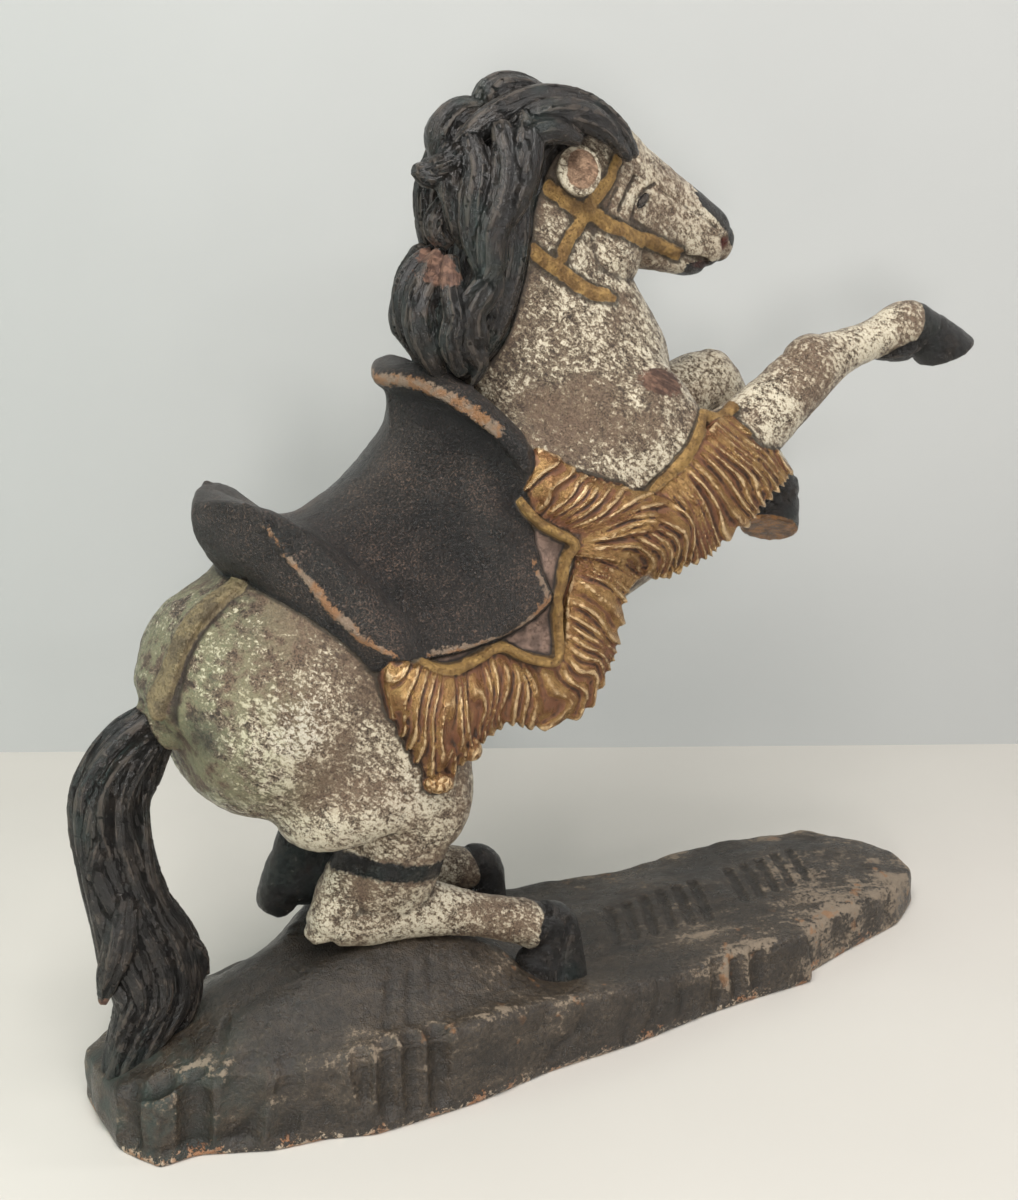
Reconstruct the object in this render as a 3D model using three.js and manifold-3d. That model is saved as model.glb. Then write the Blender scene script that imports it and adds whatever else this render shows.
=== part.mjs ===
// Carved and painted wooden horse, rearing up from its hind cannons on a rocky ground.
// Millimetres, +Z up. The horse looks along +X, its left side is +Y, and the middle of its
// body lies in the plane Y = 0. The origin is under the middle of the ground, at its underside.
import * as THREE from 'three';
import { mergeVertices } from 'three/addons/utils/BufferGeometryUtils.js';
import Module from 'manifold-3d';

const wasm = await Module();
wasm.setup();

// Driving dimensions
const FIT_GAP = 0.35;
const FORE_LEG_Y = 38;
const FAR_FORE_Y = 35;
const FLUTE_PITCH = 13.5;
const FLUTE_RADIUS = 8;
const FRINGE_RISE = 2.6;
const TRIM_RADIUS = 4.6;
const BRIDLE_WIDTH = 3.2;
const SADDLE_AXIS = new THREE.Vector3(0.77, 0, 0.64);
const SADDLE_UP = new THREE.Vector3(-0.64, 0, 0.77);
const SADDLE_ORIGIN = new THREE.Vector3(-75, 0, 245);
const SADDLE_CENTRE_Q = -10;
const NEAR = -1;
const FAR = 1;

// Each row is one carved cross-section: x, y, z of its centre, half width, half depth.
const TORSO = [
  [-213, 0, 203, 16, 16], [-206, 0, 204, 38, 34], [-188, 0, 206, 54, 52], [-155, 0, 209, 63, 62],
  [-115, 0, 222, 61, 62], [-75, 0, 245, 58, 60], [-35, 0, 267, 58, 62], [5, 0, 284, 58, 67],
  [38, 0, 296, 54, 64], [62, 0, 305, 42, 46], [75, 0, 310, 20, 22],
];
const NECK = [
  [14, 0, 312, 50, 58], [9, 0, 345, 44, 59], [4, 0, 368, 37, 54], [-3, 0, 392, 31, 46],
  [-6, 0, 415, 28, 38], [-4, 0, 437, 25, 31], [4, 0, 456, 20, 22],
];
const HEAD = [
  [-14, 0, 448, 15, 16], [2, 0, 445, 22, 29], [16, 0, 439, 24, 34], [32, 0, 431, 24, 35],
  [50, 0, 425, 20, 29], [72, 0, 418, 16, 22], [92, 0, 410, 14, 17.5], [106, 0, 405, 12.5, 14.5],
  [111, 0, 403, 9, 9],
];
const THIGH = [
  [-146, 26, 208, 20, 40], [-124, 33, 180, 30, 63], [-113, 36, 152, 27, 50],
  [-106, 34, 132, 20, 28], [-106, 31, 115, 18, 25], [-112, 28, 100, 14, 26],
];
const HIND_CANNON = [
  [-151, 23, 91, 7, 9], [-143, 24, 96, 11, 19], [-116, 26, 94, 13, 20], [-85, 29, 84, 11, 14],
  [-60, 32, 74, 10, 12], [-38, 35, 65, 11, 12.5], [-25, 37, 58, 13, 14],
];
const HIND_HOOF = [
  [-25, 38, 67, 10, 9], [-20, 39, 54, 13, 13], [-17, 40, 44, 15, 15], [-15, 41, 34, 17, 18],
  [-14, 41, 26, 18, 20],
];
const NEAR_FORE = [
  [40, 38, 285, 20, 34], [70, 38, 297, 18, 27], [95, 38, 308, 17, 21], [120, 38, 325, 15, 18],
  [143, 38, 341, 14.5, 16], [162, 38, 348, 11, 12], [182, 38, 353, 9.5, 10.5],
  [203, 38, 359, 11.5, 12.5], [216, 38, 358, 11, 12],
];
const FAR_FORE = [
  [40, 36, 285, 20, 34], [75, 36, 300, 17, 26], [105, 36, 316, 16, 20], [132, 36, 323, 15, 17],
  [150, 36, 306, 11, 12], [167, 36, 284, 9.5, 10.5], [181, 36, 263, 11.5, 12.5],
  [187, 36, 250, 11, 12],
];
const TAIL = [
  [-204, 0, 202, 8, 9], [-214, 0, 199, 9, 12], [-225, 0, 188, 10, 15], [-234, 0, 168, 11, 18],
  [-232, 0, 142, 11, 21], [-225, -1, 112, 12, 22], [-219, -2, 84, 12, 25], [-222, -3, 62, 11, 22],
  [-234, -5, 42, 9, 14], [-241, -5, 22, 7, 10],
];
const MANE_CORE = [
  [18, -2, 462, 16, 8], [0, -4, 466, 22, 14], [-20, -5, 457, 24, 19], [-31, -6, 433, 25, 19],
  [-35, -6, 406, 27, 18], [-44, -5, 378, 27, 17], [-52, -4, 358, 19, 11], [-58, -4, 348, 8, 4],
];
// Stations of the saddle from cantle to pommel: place along the back at the ridge and at the
// flap edge, ridge height, half width, height of the flap edge.
const SADDLE = [
  [-57, -52, 68, 57, 28], [-61, -54, 82, 61, 26], [-60, -52, 98, 65, 23], [-55, -49, 110, 68, 20],
  [-48, -45, 116, 70, 18], [-41, -40, 110, 69, 15], [-35, -36, 95, 67, 11], [-28, -28, 81, 65, 5],
  [-14, -14, 71, 64.5, -5], [6, 6, 66, 64, -11], [24, 24, 65, 64, -17], [38, 36, 67, 63.5, -8],
  [49, 48, 73, 63, 14], [54, 57, 84, 62, 26], [60, 64, 92, 62, 34], [68, 70, 90, 61, 42],
  [77, 76, 78, 57, 46], [80, 80, 60, 50, 42],
];
// Lower edge of the blanket and its gold trim, seen from the side.
const BLANKET_EDGE = [
  [-44, 300], [-20, 275], [-26, 248], [-29, 218], [-52, 223], [-63, 229], [-90, 223], [-112, 230],
  [-130, 238],
];
// Breast strap across the shoulder: x, half width of the horse there, z.
const BREAST_STRAP = [
  [-30, 61, 316], [-6, 62, 304], [18, 62, 291], [27, 61, 293], [47, 60, 311], [66, 56, 332],
];
// Roots and tips of the fringe, front to back.
const FRINGE_TIPS = [
  [111, 296], [93, 280], [78, 268], [63, 257], [46, 250], [28, 252], [12, 250], [6, 226],
  [0, 198], [-14, 180], [-36, 184], [-56, 193], [-72, 183], [-88, 174], [-101, 169], [-112, 196],
];
const FRINGE_ROOTS = [
  [66, 332], [58, 322], [49, 312], [40, 304], [30, 295], [18, 291], [0, 284], [-20, 262],
  [-27, 240], [-29, 220], [-46, 222], [-60, 228], [-76, 226], [-90, 224], [-104, 228],
  [-120, 234],
];
const GROUND_OUTLINE = [
  [-252, 26], [-252, -26], [-240, -49], [-221, -50], [-189, -65], [-164, -70], [-142, -79],
  [-111, -81], [-86, -82], [-40, -78], [10, -80], [60, -77], [100, -78], [131, -80], [134, -73],
  [174, -64], [219, -56], [248, -38], [254, -10], [246, 10], [229, 27], [222, 41], [174, 53],
  [136, 60], [92, 62], [54, 70], [12, 78], [-40, 80], [-100, 76], [-160, 64], [-210, 46],
];
// Height of the ground along its length: x, near edge, crest, far edge, width of the level
// top on the far side of the crest.
const GROUND_HEIGHT = [
  [-256, 24, 27, 24, 2], [-240, 38, 34, 27, 2], [-215, 40, 45, 28, 2], [-195, 38, 55, 30, 2],
  [-172, 38, 62, 30, 4], [-150, 45, 70, 30, 8], [-128, 47, 74, 30, 34], [-100, 45, 72, 28, 38],
  [-70, 44, 66, 26, 38], [-48, 41, 55, 25, 38], [-32, 38, 38, 23, 30], [-18, 37, 30, 22, 10],
  [0, 36, 27, 21, 4], [40, 32, 28, 20, 4], [80, 31, 29, 20, 4], [125, 31, 29, 21, 4],
  [138, 28, 28, 22, 4], [180, 27, 28, 23, 4], [220, 24, 26, 22, 4], [256, 18, 21, 18, 4],
];
const NEAR_LEVEL = 24;
const CREST_Y = -6;

function mix(a, b, t) {
  return a + (b - a) * t;
}

// Reads a table of rows at x, blending between the rows.
function tableAt(rows, x) {
  let i = 0;
  while (i < rows.length - 2 && rows[i + 1][0] < x) i += 1;
  const t = Math.min(1, Math.max(0, (x - rows[i][0]) / (rows[i + 1][0] - rows[i][0])));
  return rows[i].map((value, k) => mix(value, rows[i + 1][k], t));
}

// A closed body from rings of points: the rings are joined in order and both ends are capped.
function skinRings(rings) {
  const sides = rings[0].length;
  const positions = [];
  const faces = [];
  const middle = (ring) => ring.reduce((sum, p) => sum.add(p), new THREE.Vector3())
    .divideScalar(sides);
  for (const ring of rings) for (const p of ring) positions.push(p.x, p.y, p.z);
  const last = rings.length - 1;
  const firstCap = rings.length * sides;
  for (const p of [middle(rings[0]), middle(rings[last])]) positions.push(p.x, p.y, p.z);
  for (let i = 0; i < sides; i += 1) {
    const j = (i + 1) % sides;
    for (let k = 0; k < last; k += 1) {
      const a = k * sides;
      faces.push(a + i, a + j, a + sides + j, a + i, a + sides + j, a + sides + i);
    }
    faces.push(firstCap, j, i, firstCap + 1, last * sides + i, last * sides + j);
  }
  const geometry = new THREE.BufferGeometry();
  geometry.setAttribute('position', new THREE.Float32BufferAttribute(positions, 3));
  geometry.setIndex(faces);
  return geometry;
}

// A limb: oval sections along a smooth line through the rows, mirrored by `side`.
// The width lies along `across`, the depth square to it.
function limb(rows, sides, steps, { side = 1, across = null, power = 2 } = {}) {
  const centres = rows.map((row) => new THREE.Vector3(row[0], row[1] * side, row[2]));
  const radii = rows.map((row) => new THREE.Vector3(row[3], row[4], 0));
  const spine = new THREE.CatmullRomCurve3(centres, false, 'catmullrom', 0.5);
  const sizes = new THREE.CatmullRomCurve3(radii, false, 'catmullrom', 0.5);
  const rings = [];
  for (let k = 0; k <= steps; k += 1) {
    const centre = spine.getPoint(k / steps);
    const size = sizes.getPoint(k / steps);
    const along = spine.getTangent(k / steps);
    const wide = across ? across.clone() : new THREE.Vector3(0, 1, 0);
    wide.addScaledVector(along, -wide.dot(along)).normalize();
    const deep = along.clone().cross(wide);
    const ring = [];
    for (let i = 0; i < sides; i += 1) {
      const angle = (2 * Math.PI * i) / sides;
      const c = Math.cos(angle);
      const s = Math.sin(angle);
      const u = size.x * Math.sign(c) * Math.abs(c) ** (2 / power);
      const v = size.y * Math.sign(s) * Math.abs(s) ** (2 / power);
      ring.push(centre.clone().addScaledVector(wide, u).addScaledVector(deep, v));
    }
    rings.push(ring);
  }
  return skinRings(rings);
}

// Turns a closed geometry into a solid for joining and cutting.
function toSolid(source) {
  const bare = source.index ? source.clone() : source;
  bare.deleteAttribute('normal');
  bare.deleteAttribute('uv');
  const merged = mergeVertices(bare, 1e-4);
  const points = merged.attributes.position;
  const index = merged.index.array;
  const corner = (i) => new THREE.Vector3().fromBufferAttribute(points, index[i]);
  let volume = 0;
  for (let i = 0; i < index.length; i += 3) {
    volume += corner(i).dot(corner(i + 1).cross(corner(i + 2)));
  }
  const triVerts = Uint32Array.from(index);
  if (volume < 0) {
    for (let i = 0; i < triVerts.length; i += 3) {
      [triVerts[i], triVerts[i + 1]] = [triVerts[i + 1], triVerts[i]];
    }
  }
  const vertProperties = Float32Array.from(points.array);
  return new wasm.Manifold(new wasm.Mesh({ numProp: 3, vertProperties, triVerts }));
}

function toGeometry(solid) {
  const mesh = solid.getMesh();
  const geometry = new THREE.BufferGeometry();
  geometry.setAttribute('position', new THREE.BufferAttribute(mesh.vertProperties, 3));
  geometry.setIndex(new THREE.BufferAttribute(mesh.triVerts, 1));
  return geometry;
}

function joinAll(geometries) {
  return geometries.map(toSolid).reduce((whole, next) => whole.add(next));
}

function blob(x, y, z, rx, ry, rz, turn = 0, detail = 8) {
  const geometry = new THREE.SphereGeometry(1, detail, Math.round(detail * 0.6));
  geometry.scale(rx, ry, rz);
  geometry.rotateY(turn);
  geometry.translate(x, y, z);
  return geometry;
}

// Half width of the barrel at a place in the side view.
function flankAt(x, z) {
  const row = tableAt(TORSO, x + (z - 265) * 0.5);
  const drop = (z - row[2]) * 0.85 - (x - row[0]) * 0.5;
  return row[3] * Math.sqrt(Math.max(0.12, 1 - (drop / row[4]) ** 2));
}

// Point on the saddle: p along the back, q above the barrel axis, y across.
function saddlePoint(p, y, q) {
  const point = SADDLE_ORIGIN.clone().addScaledVector(SADDLE_AXIS, p);
  point.addScaledVector(SADDLE_UP, q);
  point.y = y;
  return point;
}

// The saddle is a thick arched shell; its inner face lies inside the barrel.
function saddleShell() {
  const spans = 10;
  return skinRings(SADDLE.map(([ridgeP, edgeP, ridge, width, edge]) => {
    const rise = ridge - SADDLE_CENTRE_Q;
    const reach = Math.acos(Math.max(-0.35, (edge - SADDLE_CENTRE_Q) / rise));
    const outer = [];
    const inner = [];
    for (let i = 0; i <= spans; i += 1) {
      const angle = reach * ((2 * i) / spans - 1);
      const p = mix(ridgeP, edgeP, Math.abs(Math.sin(angle)));
      const y = width * Math.sin(angle);
      const q = SADDLE_CENTRE_Q + rise * Math.cos(angle);
      outer.push(saddlePoint(p, y, q));
      const under = Math.min(q - 8, SADDLE_CENTRE_Q + Math.min(rise - 12, 46) * Math.cos(angle));
      inner.push(saddlePoint(Math.max(-40, Math.min(76, p)), y * 0.84, under));
    }
    return outer.concat(inner.reverse());
  }));
}

// A flat ribbon of relief on the flank that follows side-view points on both sides.
function reliefLine(points, side, radius, steps, lift) {
  const rows = points.map(([x, z]) => [x, flankAt(x, z) + lift, z, radius, radius]);
  return limb(rows, 4, steps, { side });
}

// The blanket is a thin layer over the barrel between its lower edge and the saddle.
function blanketPatch(side) {
  const rings = BLANKET_EDGE.map(([x, z]) => {
    const inX = mix(x, -75, 0.55);
    const inZ = mix(z, 272, 0.55);
    const edge = flankAt(x, z);
    const inside = flankAt(inX, inZ);
    return [
      new THREE.Vector3(x, side * (edge + 3), z), new THREE.Vector3(inX, side * (inside + 3), inZ),
      new THREE.Vector3(inX, side * (inside - 12), inZ), new THREE.Vector3(x, side * (edge - 12), z),
    ];
  });
  return skinRings(rings);
}

// The fringe is a sheet with ridges: every other line from root to tip stands higher and
// hangs lower. Its inner face lies inside the horse.
function fringe(side, ridges) {
  const rings = [];
  for (let i = 0; i <= ridges * 2; i += 1) {
    const place = (i * (FRINGE_TIPS.length - 1)) / (ridges * 2);
    const k = Math.min(FRINGE_TIPS.length - 2, Math.floor(place));
    const t = place - k;
    const high = i % 2;
    const [x0, z0] = FRINGE_ROOTS[k].map((v, n) => mix(v, FRINGE_ROOTS[k + 1][n], t));
    const tip = FRINGE_TIPS[k].map((v, n) => mix(v, FRINGE_TIPS[k + 1][n], t));
    const x1 = mix(x0, tip[0], high ? 1.04 : 0.9);
    const z1 = mix(z0, tip[1], high ? 1.04 : 0.9);
    const rootY = Math.max(flankAt(x0, z0), 55);
    const tipY = Math.max(flankAt(x1, z1), 57);
    const at = (f, y) => new THREE.Vector3(mix(x0, x1, f), side * y, mix(z0, z1, f));
    rings.push([
      at(0, rootY + 1.5 + high), at(0.5, mix(rootY, tipY, 0.5) + 2.5 + high * FRINGE_RISE),
      at(1, tipY + high * FRINGE_RISE), at(0.96, tipY - 5), at(0.4, mix(rootY, tipY, 0.4) - 16),
      at(-0.1, rootY - 16),
    ]);
  }
  return skinRings(rings);
}

// Hoof of a raised foreleg: from the coronet to a flat sole.
function raisedHoof(coronet, sole, solePitch, y, side) {
  const turn = new THREE.Vector3(Math.cos(solePitch), 0, Math.sin(solePitch));
  const ringAt = (x, z, halfLong, halfWide) => {
    const ring = [];
    for (let i = 0; i < 12; i += 1) {
      const angle = (2 * Math.PI * i) / 12;
      const point = new THREE.Vector3(x, side * (y + halfWide * Math.sin(angle)), z);
      ring.push(point.addScaledVector(turn, halfLong * Math.cos(angle)));
    }
    return ring;
  };
  const [cx, cz] = coronet;
  const [sx, sz] = sole;
  return skinRings([
    ringAt(mix(cx, sx, -0.5), mix(cz, sz, -0.5), 11, 10), ringAt(cx, cz, 14, 13),
    ringAt(mix(cx, sx, 0.55), mix(cz, sz, 0.55), 17.5, 15.5), ringAt(sx, sz, 20.5, 17),
  ]);
}

// A pointed lock of hair along a smooth line of x, y, z, thickness rows.
function hairLock(points, side = 1, flatness = 0.6) {
  const rows = points.map(([x, y, z, r]) => [x, y, z, r * flatness, r]);
  return limb(rows, 5, points.length, { side });
}

function hindLegs() {
  const pieces = [];
  for (const side of [NEAR, FAR]) {
    pieces.push(limb(THIGH, 12, 7, { side, power: 2.2 }));
    pieces.push(limb(HIND_CANNON, 8, 8, { side }));
    pieces.push(limb(HIND_HOOF, 10, 4, { side }));
  }
  return pieces;
}

function foreLegs() {
  return [
    limb(NEAR_FORE, 8, 12, { side: NEAR }),
    raisedHoof([221, 356], [234, 343], 0.28, FORE_LEG_Y, NEAR),
    limb([[214, 38, 356, 9, 8], [200, 38, 346, 9, 8], [186, 38, 344, 3, 2.5]], 8, 4, { side: NEAR }),
    limb(FAR_FORE, 8, 11, { side: FAR }),
    raisedHoof([185, 244], [180, 227], -0.44, FAR_FORE_Y, FAR),
    limb([[185, 35, 256, 9, 8], [174, 35, 246, 8, 8], [167, 35, 236, 3, 3]], 8, 4, { side: FAR }),
  ];
}

function headAndBridle() {
  const pieces = [
    limb(HEAD, 12, 12, { power: 2.2 }),
    limb([[62, 0, 400, 9, 7], [80, 0, 394, 9, 5.5], [92, 0, 393, 8, 4.5], [100, 0, 393, 5, 3]], 10, 5),
  ];
  for (const side of [NEAR, FAR]) {
    pieces.push(blob(28, side * 8, 410, 27, 17, 27));
    pieces.push(limb([[3, 17, 440, 9, 9], [1, 27, 447, 10.5, 10.5]], 10, 1,
      { side, across: new THREE.Vector3(1, 0, 0) }));
    pieces.push(blob(42, side * 20, 431, 8, 4, 4, 0.35, 6));
    const strap = (points) => limb(points.map(([x, y, z]) => [x, y, z, 2.4, BRIDLE_WIDTH]), 4,
      points.length, { side });
    pieces.push(strap([[20, 24, 451], [13, 25.5, 434], [17, 26, 421], [8, 25, 404], [2, 24, 398]]));
    pieces.push(strap([[17, 26, 421], [42, 23, 411], [60, 18, 402], [74, 14, 397]]));
    pieces.push(strap([[-14, 25, 440], [2, 25, 430], [17, 26, 421]]));
    pieces.push(strap([[-29, 27, 418], [-14, 27, 408], [2, 25, 395], [16, 16, 384], [24, 0, 380]]));
  }
  return pieces;
}

function maneAndForelock() {
  const near = [
    [[10, 20, 466, 5], [-6, 27, 460, 8], [-18, 31, 442, 9], [-30, 34, 424, 8], [-36, 33, 404, 4]],
    [[-12, 26, 468, 5], [-30, 32, 452, 9], [-42, 35, 430, 9], [-46, 36, 408, 8], [-52, 34, 384, 4]],
    [[-34, 28, 440, 6], [-46, 35, 418, 9], [-46, 37, 396, 9], [-52, 36, 374, 8], [-62, 32, 350, 3]],
    [[-44, 28, 402, 6], [-58, 33, 394, 9], [-66, 34, 378, 8], [-66, 33, 362, 7], [-76, 30, 350, 3]],
    [[-50, 24, 400, 5], [-70, 27, 398, 8], [-80, 28, 384, 8], [-80, 27, 368, 6], [-74, 26, 352, 3]],
    [[-30, 20, 470, 6], [-48, 24, 462, 9], [-60, 26, 450, 8], [-74, 24, 447, 5], [-80, 22, 450, 2]],
    [[-44, 20, 452, 6], [-56, 26, 440, 8], [-62, 26, 424, 7], [-60, 26, 408, 4]],
  ];
  const pieces = [limb(MANE_CORE, 8, 10)];
  pieces.push(limb([[-10, -6, 470, 12, 7], [4, -14, 474, 10, 6], [20, -20, 466, 8, 5],
    [34, -24, 455, 3, 2.5]], 8, 6));
  pieces.push(blob(-24, -4, 476, 14, 12, 9), blob(-46, -4, 464, 16, 14, 12));
  for (const lock of near) pieces.push(hairLock(lock, NEAR));
  for (const lock of near.slice(0, 3)) {
    pieces.push(hairLock(lock.map(([x, y, z, r]) => [x + 12, y - 6, z, r]), FAR));
  }
  return pieces;
}

function tail() {
  return [
    limb(TAIL, 8, 14, { power: 2.2 }),
    hairLock([[-236, -8, 128, 8], [-240, -12, 100, 9], [-246, -12, 80, 6], [-250, -10, 68, 2.5]]),
    hairLock([[-222, -8, 176, 7], [-218, -12, 150, 8], [-210, -12, 118, 8], [-206, -10, 84, 5]]),
    hairLock([[-224, 8, 170, 7], [-222, 12, 136, 9], [-214, 12, 100, 8], [-214, 9, 70, 4]]),
  ];
}

function harness() {
  const pieces = [saddleShell()];
  for (const side of [NEAR, FAR]) {
    pieces.push(blanketPatch(side));
    pieces.push(reliefLine(BLANKET_EDGE, side, TRIM_RADIUS, 12, 0.4));
    const strap = BREAST_STRAP.map(([x, y, z]) => [x, y - 1, z, TRIM_RADIUS, TRIM_RADIUS]);
    pieces.push(limb(strap, 4, 8, { side }));
    pieces.push(fringe(side, side === NEAR ? 13 : 9));
  }
  const crupper = [[-150, 0, 272], [-167, 0, 266], [-180, 0, 258], [-197, 0, 246], [-208, 0, 228],
    [-214, 0, 206]];
  pieces.push(limb(crupper.map(([x, y, z]) => [x, y, z, 6.5, 3]), 6, 7));
  return pieces;
}

// The ground: a low rock with a crest under the hocks, cut with a round gouge.
function groundHeight(x, y) {
  const [, near, crest, far, farLevel] = tableAt(GROUND_HEIGHT, x);
  const level = y < CREST_Y ? NEAR_LEVEL : farLevel;
  const t = Math.min(1, Math.max(0, (Math.abs(y - CREST_Y) - level) / (66 - level)));
  const ease = t * t * (3 - 2 * t);
  return mix(crest, y < CREST_Y ? near : far, ease);
}

function groundBody() {
  const outline = new THREE.CatmullRomCurve3(
    GROUND_OUTLINE.map(([x, y]) => new THREE.Vector3(x, y, 0)), true, 'catmullrom', 0.15,
  );
  const around = 42;
  const rings = [];
  const rim = [];
  for (let i = 0; i < around; i += 1) rim.push(outline.getPoint(i / around));
  const ringAt = (inset, height) => rim.map((p) => {
    const x = mix(p.x, 0.93 * p.x, inset);
    const y = mix(p.y, CREST_Y, inset);
    return new THREE.Vector3(x, y, height(x, y));
  });
  rings.push(ringAt(0.5, () => 0));
  rings.push(ringAt(0.012, () => 0));
  rings.push(ringAt(0, () => 3));
  rings.push(ringAt(0.015, (x, y) => groundHeight(x, y) - 7));
  for (const inset of [0.08, 0.3, 0.52, 0.72, 0.88]) rings.push(ringAt(inset, groundHeight));
  return skinRings(rings);
}

// Rounded gouge strokes: each is a bar laid along a line and taken out of the ground.
function gougeStroke(from, to, radius) {
  const rows = [0, 0.5, 1].map((t) => [
    mix(from[0], to[0], t), mix(from[1], to[1], t), mix(from[2], to[2], t), radius, radius,
  ]);
  return limb(rows, 8, 1, { across: new THREE.Vector3(1, 0, 0) });
}

function gouges() {
  const strokes = [];
  for (let i = 0; i < 4; i += 1) {
    const x = -147 + i * FLUTE_PITCH;
    strokes.push(gougeStroke([x, -86, 8], [x + 1, -82, 62], FLUTE_RADIUS));
  }
  for (let i = 0; i < 3; i += 1) {
    const x = 68 + i * FLUTE_PITCH;
    strokes.push(gougeStroke([x, -84, 10], [x, -81, 50], FLUTE_RADIUS));
  }
  for (let i = 0; i < 4; i += 1) {
    const x = 50 + i * 11;
    strokes.push(gougeStroke([x - 8, -18, 34.5], [x + 4, 18, 34], 8));
    strokes.push(gougeStroke([x + 66, -20, 34.5], [x + 78, 16, 34], 8));
  }
  return strokes;
}

const horseSolid = joinAll([
  limb(TORSO, 16, 13, { power: 2.15 }),
  limb(NECK, 12, 7, { power: 2.1 }),
  ...headAndBridle(),
  ...hindLegs(),
  ...foreLegs(),
  ...tail(),
  ...maneAndForelock(),
  ...harness(),
]);

// Beds for the cannons, hooves and tail tip, a little larger than the parts that lie in them.
function grown(rows) {
  return rows.map(([x, y, z, a, b], i) => {
    const lower = i === rows.length - 1 ? FIT_GAP : 0;
    return [x, y, z - lower, a + FIT_GAP, b + FIT_GAP];
  });
}

let groundSolid = toSolid(groundBody());
for (const stroke of gouges()) groundSolid = groundSolid.subtract(toSolid(stroke));
for (const side of [NEAR, FAR]) {
  groundSolid = groundSolid.subtract(toSolid(limb(grown(HIND_CANNON), 8, 8, { side })));
  groundSolid = groundSolid.subtract(toSolid(limb(grown(HIND_HOOF), 10, 4, { side })));
}
groundSolid = groundSolid.subtract(toSolid(limb(grown(TAIL), 8, 14, { power: 2.2 })));

const horsePaint = new THREE.MeshStandardMaterial({
  color: 0xb3a893, roughness: 0.75, metalness: 0,
});
const groundPaint = new THREE.MeshStandardMaterial({
  color: 0x4a4338, roughness: 0.6, metalness: 0,
});

const group = new THREE.Group();
const horse = new THREE.Mesh(toGeometry(horseSolid), horsePaint);
horse.name = 'carved_horse';
const ground = new THREE.Mesh(toGeometry(groundSolid), groundPaint);
ground.name = 'ground_base';
group.add(horse, ground);

export default group;
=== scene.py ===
import bpy
import bmesh
import math
import numpy as np
from mathutils import Matrix, Vector, noise
from mathutils.bvhtree import BVHTree
from mathutils.interpolate import poly_3d_calc
from mathutils.kdtree import KDTree


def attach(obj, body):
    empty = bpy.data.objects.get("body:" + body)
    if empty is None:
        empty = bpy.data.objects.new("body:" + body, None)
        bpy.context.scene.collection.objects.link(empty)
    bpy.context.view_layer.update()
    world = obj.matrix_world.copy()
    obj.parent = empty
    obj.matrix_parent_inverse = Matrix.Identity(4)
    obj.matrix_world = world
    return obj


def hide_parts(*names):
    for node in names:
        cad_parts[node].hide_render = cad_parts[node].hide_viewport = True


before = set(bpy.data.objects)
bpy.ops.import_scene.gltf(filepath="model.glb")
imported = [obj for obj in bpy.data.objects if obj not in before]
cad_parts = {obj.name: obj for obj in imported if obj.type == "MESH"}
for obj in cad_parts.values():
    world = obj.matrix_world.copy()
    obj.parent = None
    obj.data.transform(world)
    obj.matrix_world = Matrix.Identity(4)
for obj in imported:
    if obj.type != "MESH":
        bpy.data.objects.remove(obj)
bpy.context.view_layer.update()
mm = 0.001
near, far = -1, 1  # the near side is the horse's right, at -Y


# shared shaping helpers, all in millimetres until a mesh is made

def mirrored(path, side):
    return [(x, side * y, z) for x, y, z in path]


def smoothRow(rows, t):  # a smooth curve through the rows, t from 0 to 1
    count = len(rows) - 1
    place = min(max(t, 0.0) * count, count - 1e-6)
    i = int(place)
    f = place - i
    b, c = rows[i], rows[i + 1]
    a = rows[i - 1] if i > 0 else 2 * b - c
    d = rows[i + 2] if i + 2 <= count else 2 * c - b
    return 0.5 * (2 * b + (c - a) * f + (2 * a - 5 * b + 4 * c - d) * f ** 2
                  + (3 * b - a - 3 * c + d) * f ** 3)


def newClay():
    clay = bmesh.new()
    clay.verts.layers.float_vector.new("grain")
    return clay


def addRings(clay, rings, strand=None, grains=None):  # one closed body: a face pulled from ring to ring
    body = newClay()
    grain = body.verts.layers.float_vector["grain"]
    made = bmesh.ops.create_circle(body, cap_ends=True, segments=len(rings[0]), radius=1.0)
    face = made["verts"][0].link_faces[0]
    gone, last = 0.0, None
    for k, ring in enumerate(rings):
        if k:
            pulled = bmesh.ops.extrude_face_region(body, geom=[face])
            face = next(g for g in pulled["geom"] if isinstance(g, bmesh.types.BMFace))
        middle = sum(ring, Vector()) / len(ring)
        gone += (middle - last).length if last else 0
        last = middle
        for i, (loop, place) in enumerate(zip(face.loops, ring)):
            loop.vert.co = place
            if grains:
                loop.vert[grain] = grains[k][i]
            elif strand is None:
                loop.vert[grain] = place
            else:  # a place around and along the lock, so that hair lines follow it
                reach = (place - middle).length
                angle = 2 * math.pi * i / len(ring)
                loop.vert[grain] = (reach * math.cos(angle) + 31 * strand, reach * math.sin(angle),
                                    gone * 0.06 + 7 * strand)
    bmesh.ops.recalc_face_normals(body, faces=body.faces)
    mesh = bpy.data.meshes.new("body")
    body.to_mesh(mesh)
    clay.from_mesh(mesh)
    bpy.data.meshes.remove(mesh)


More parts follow.
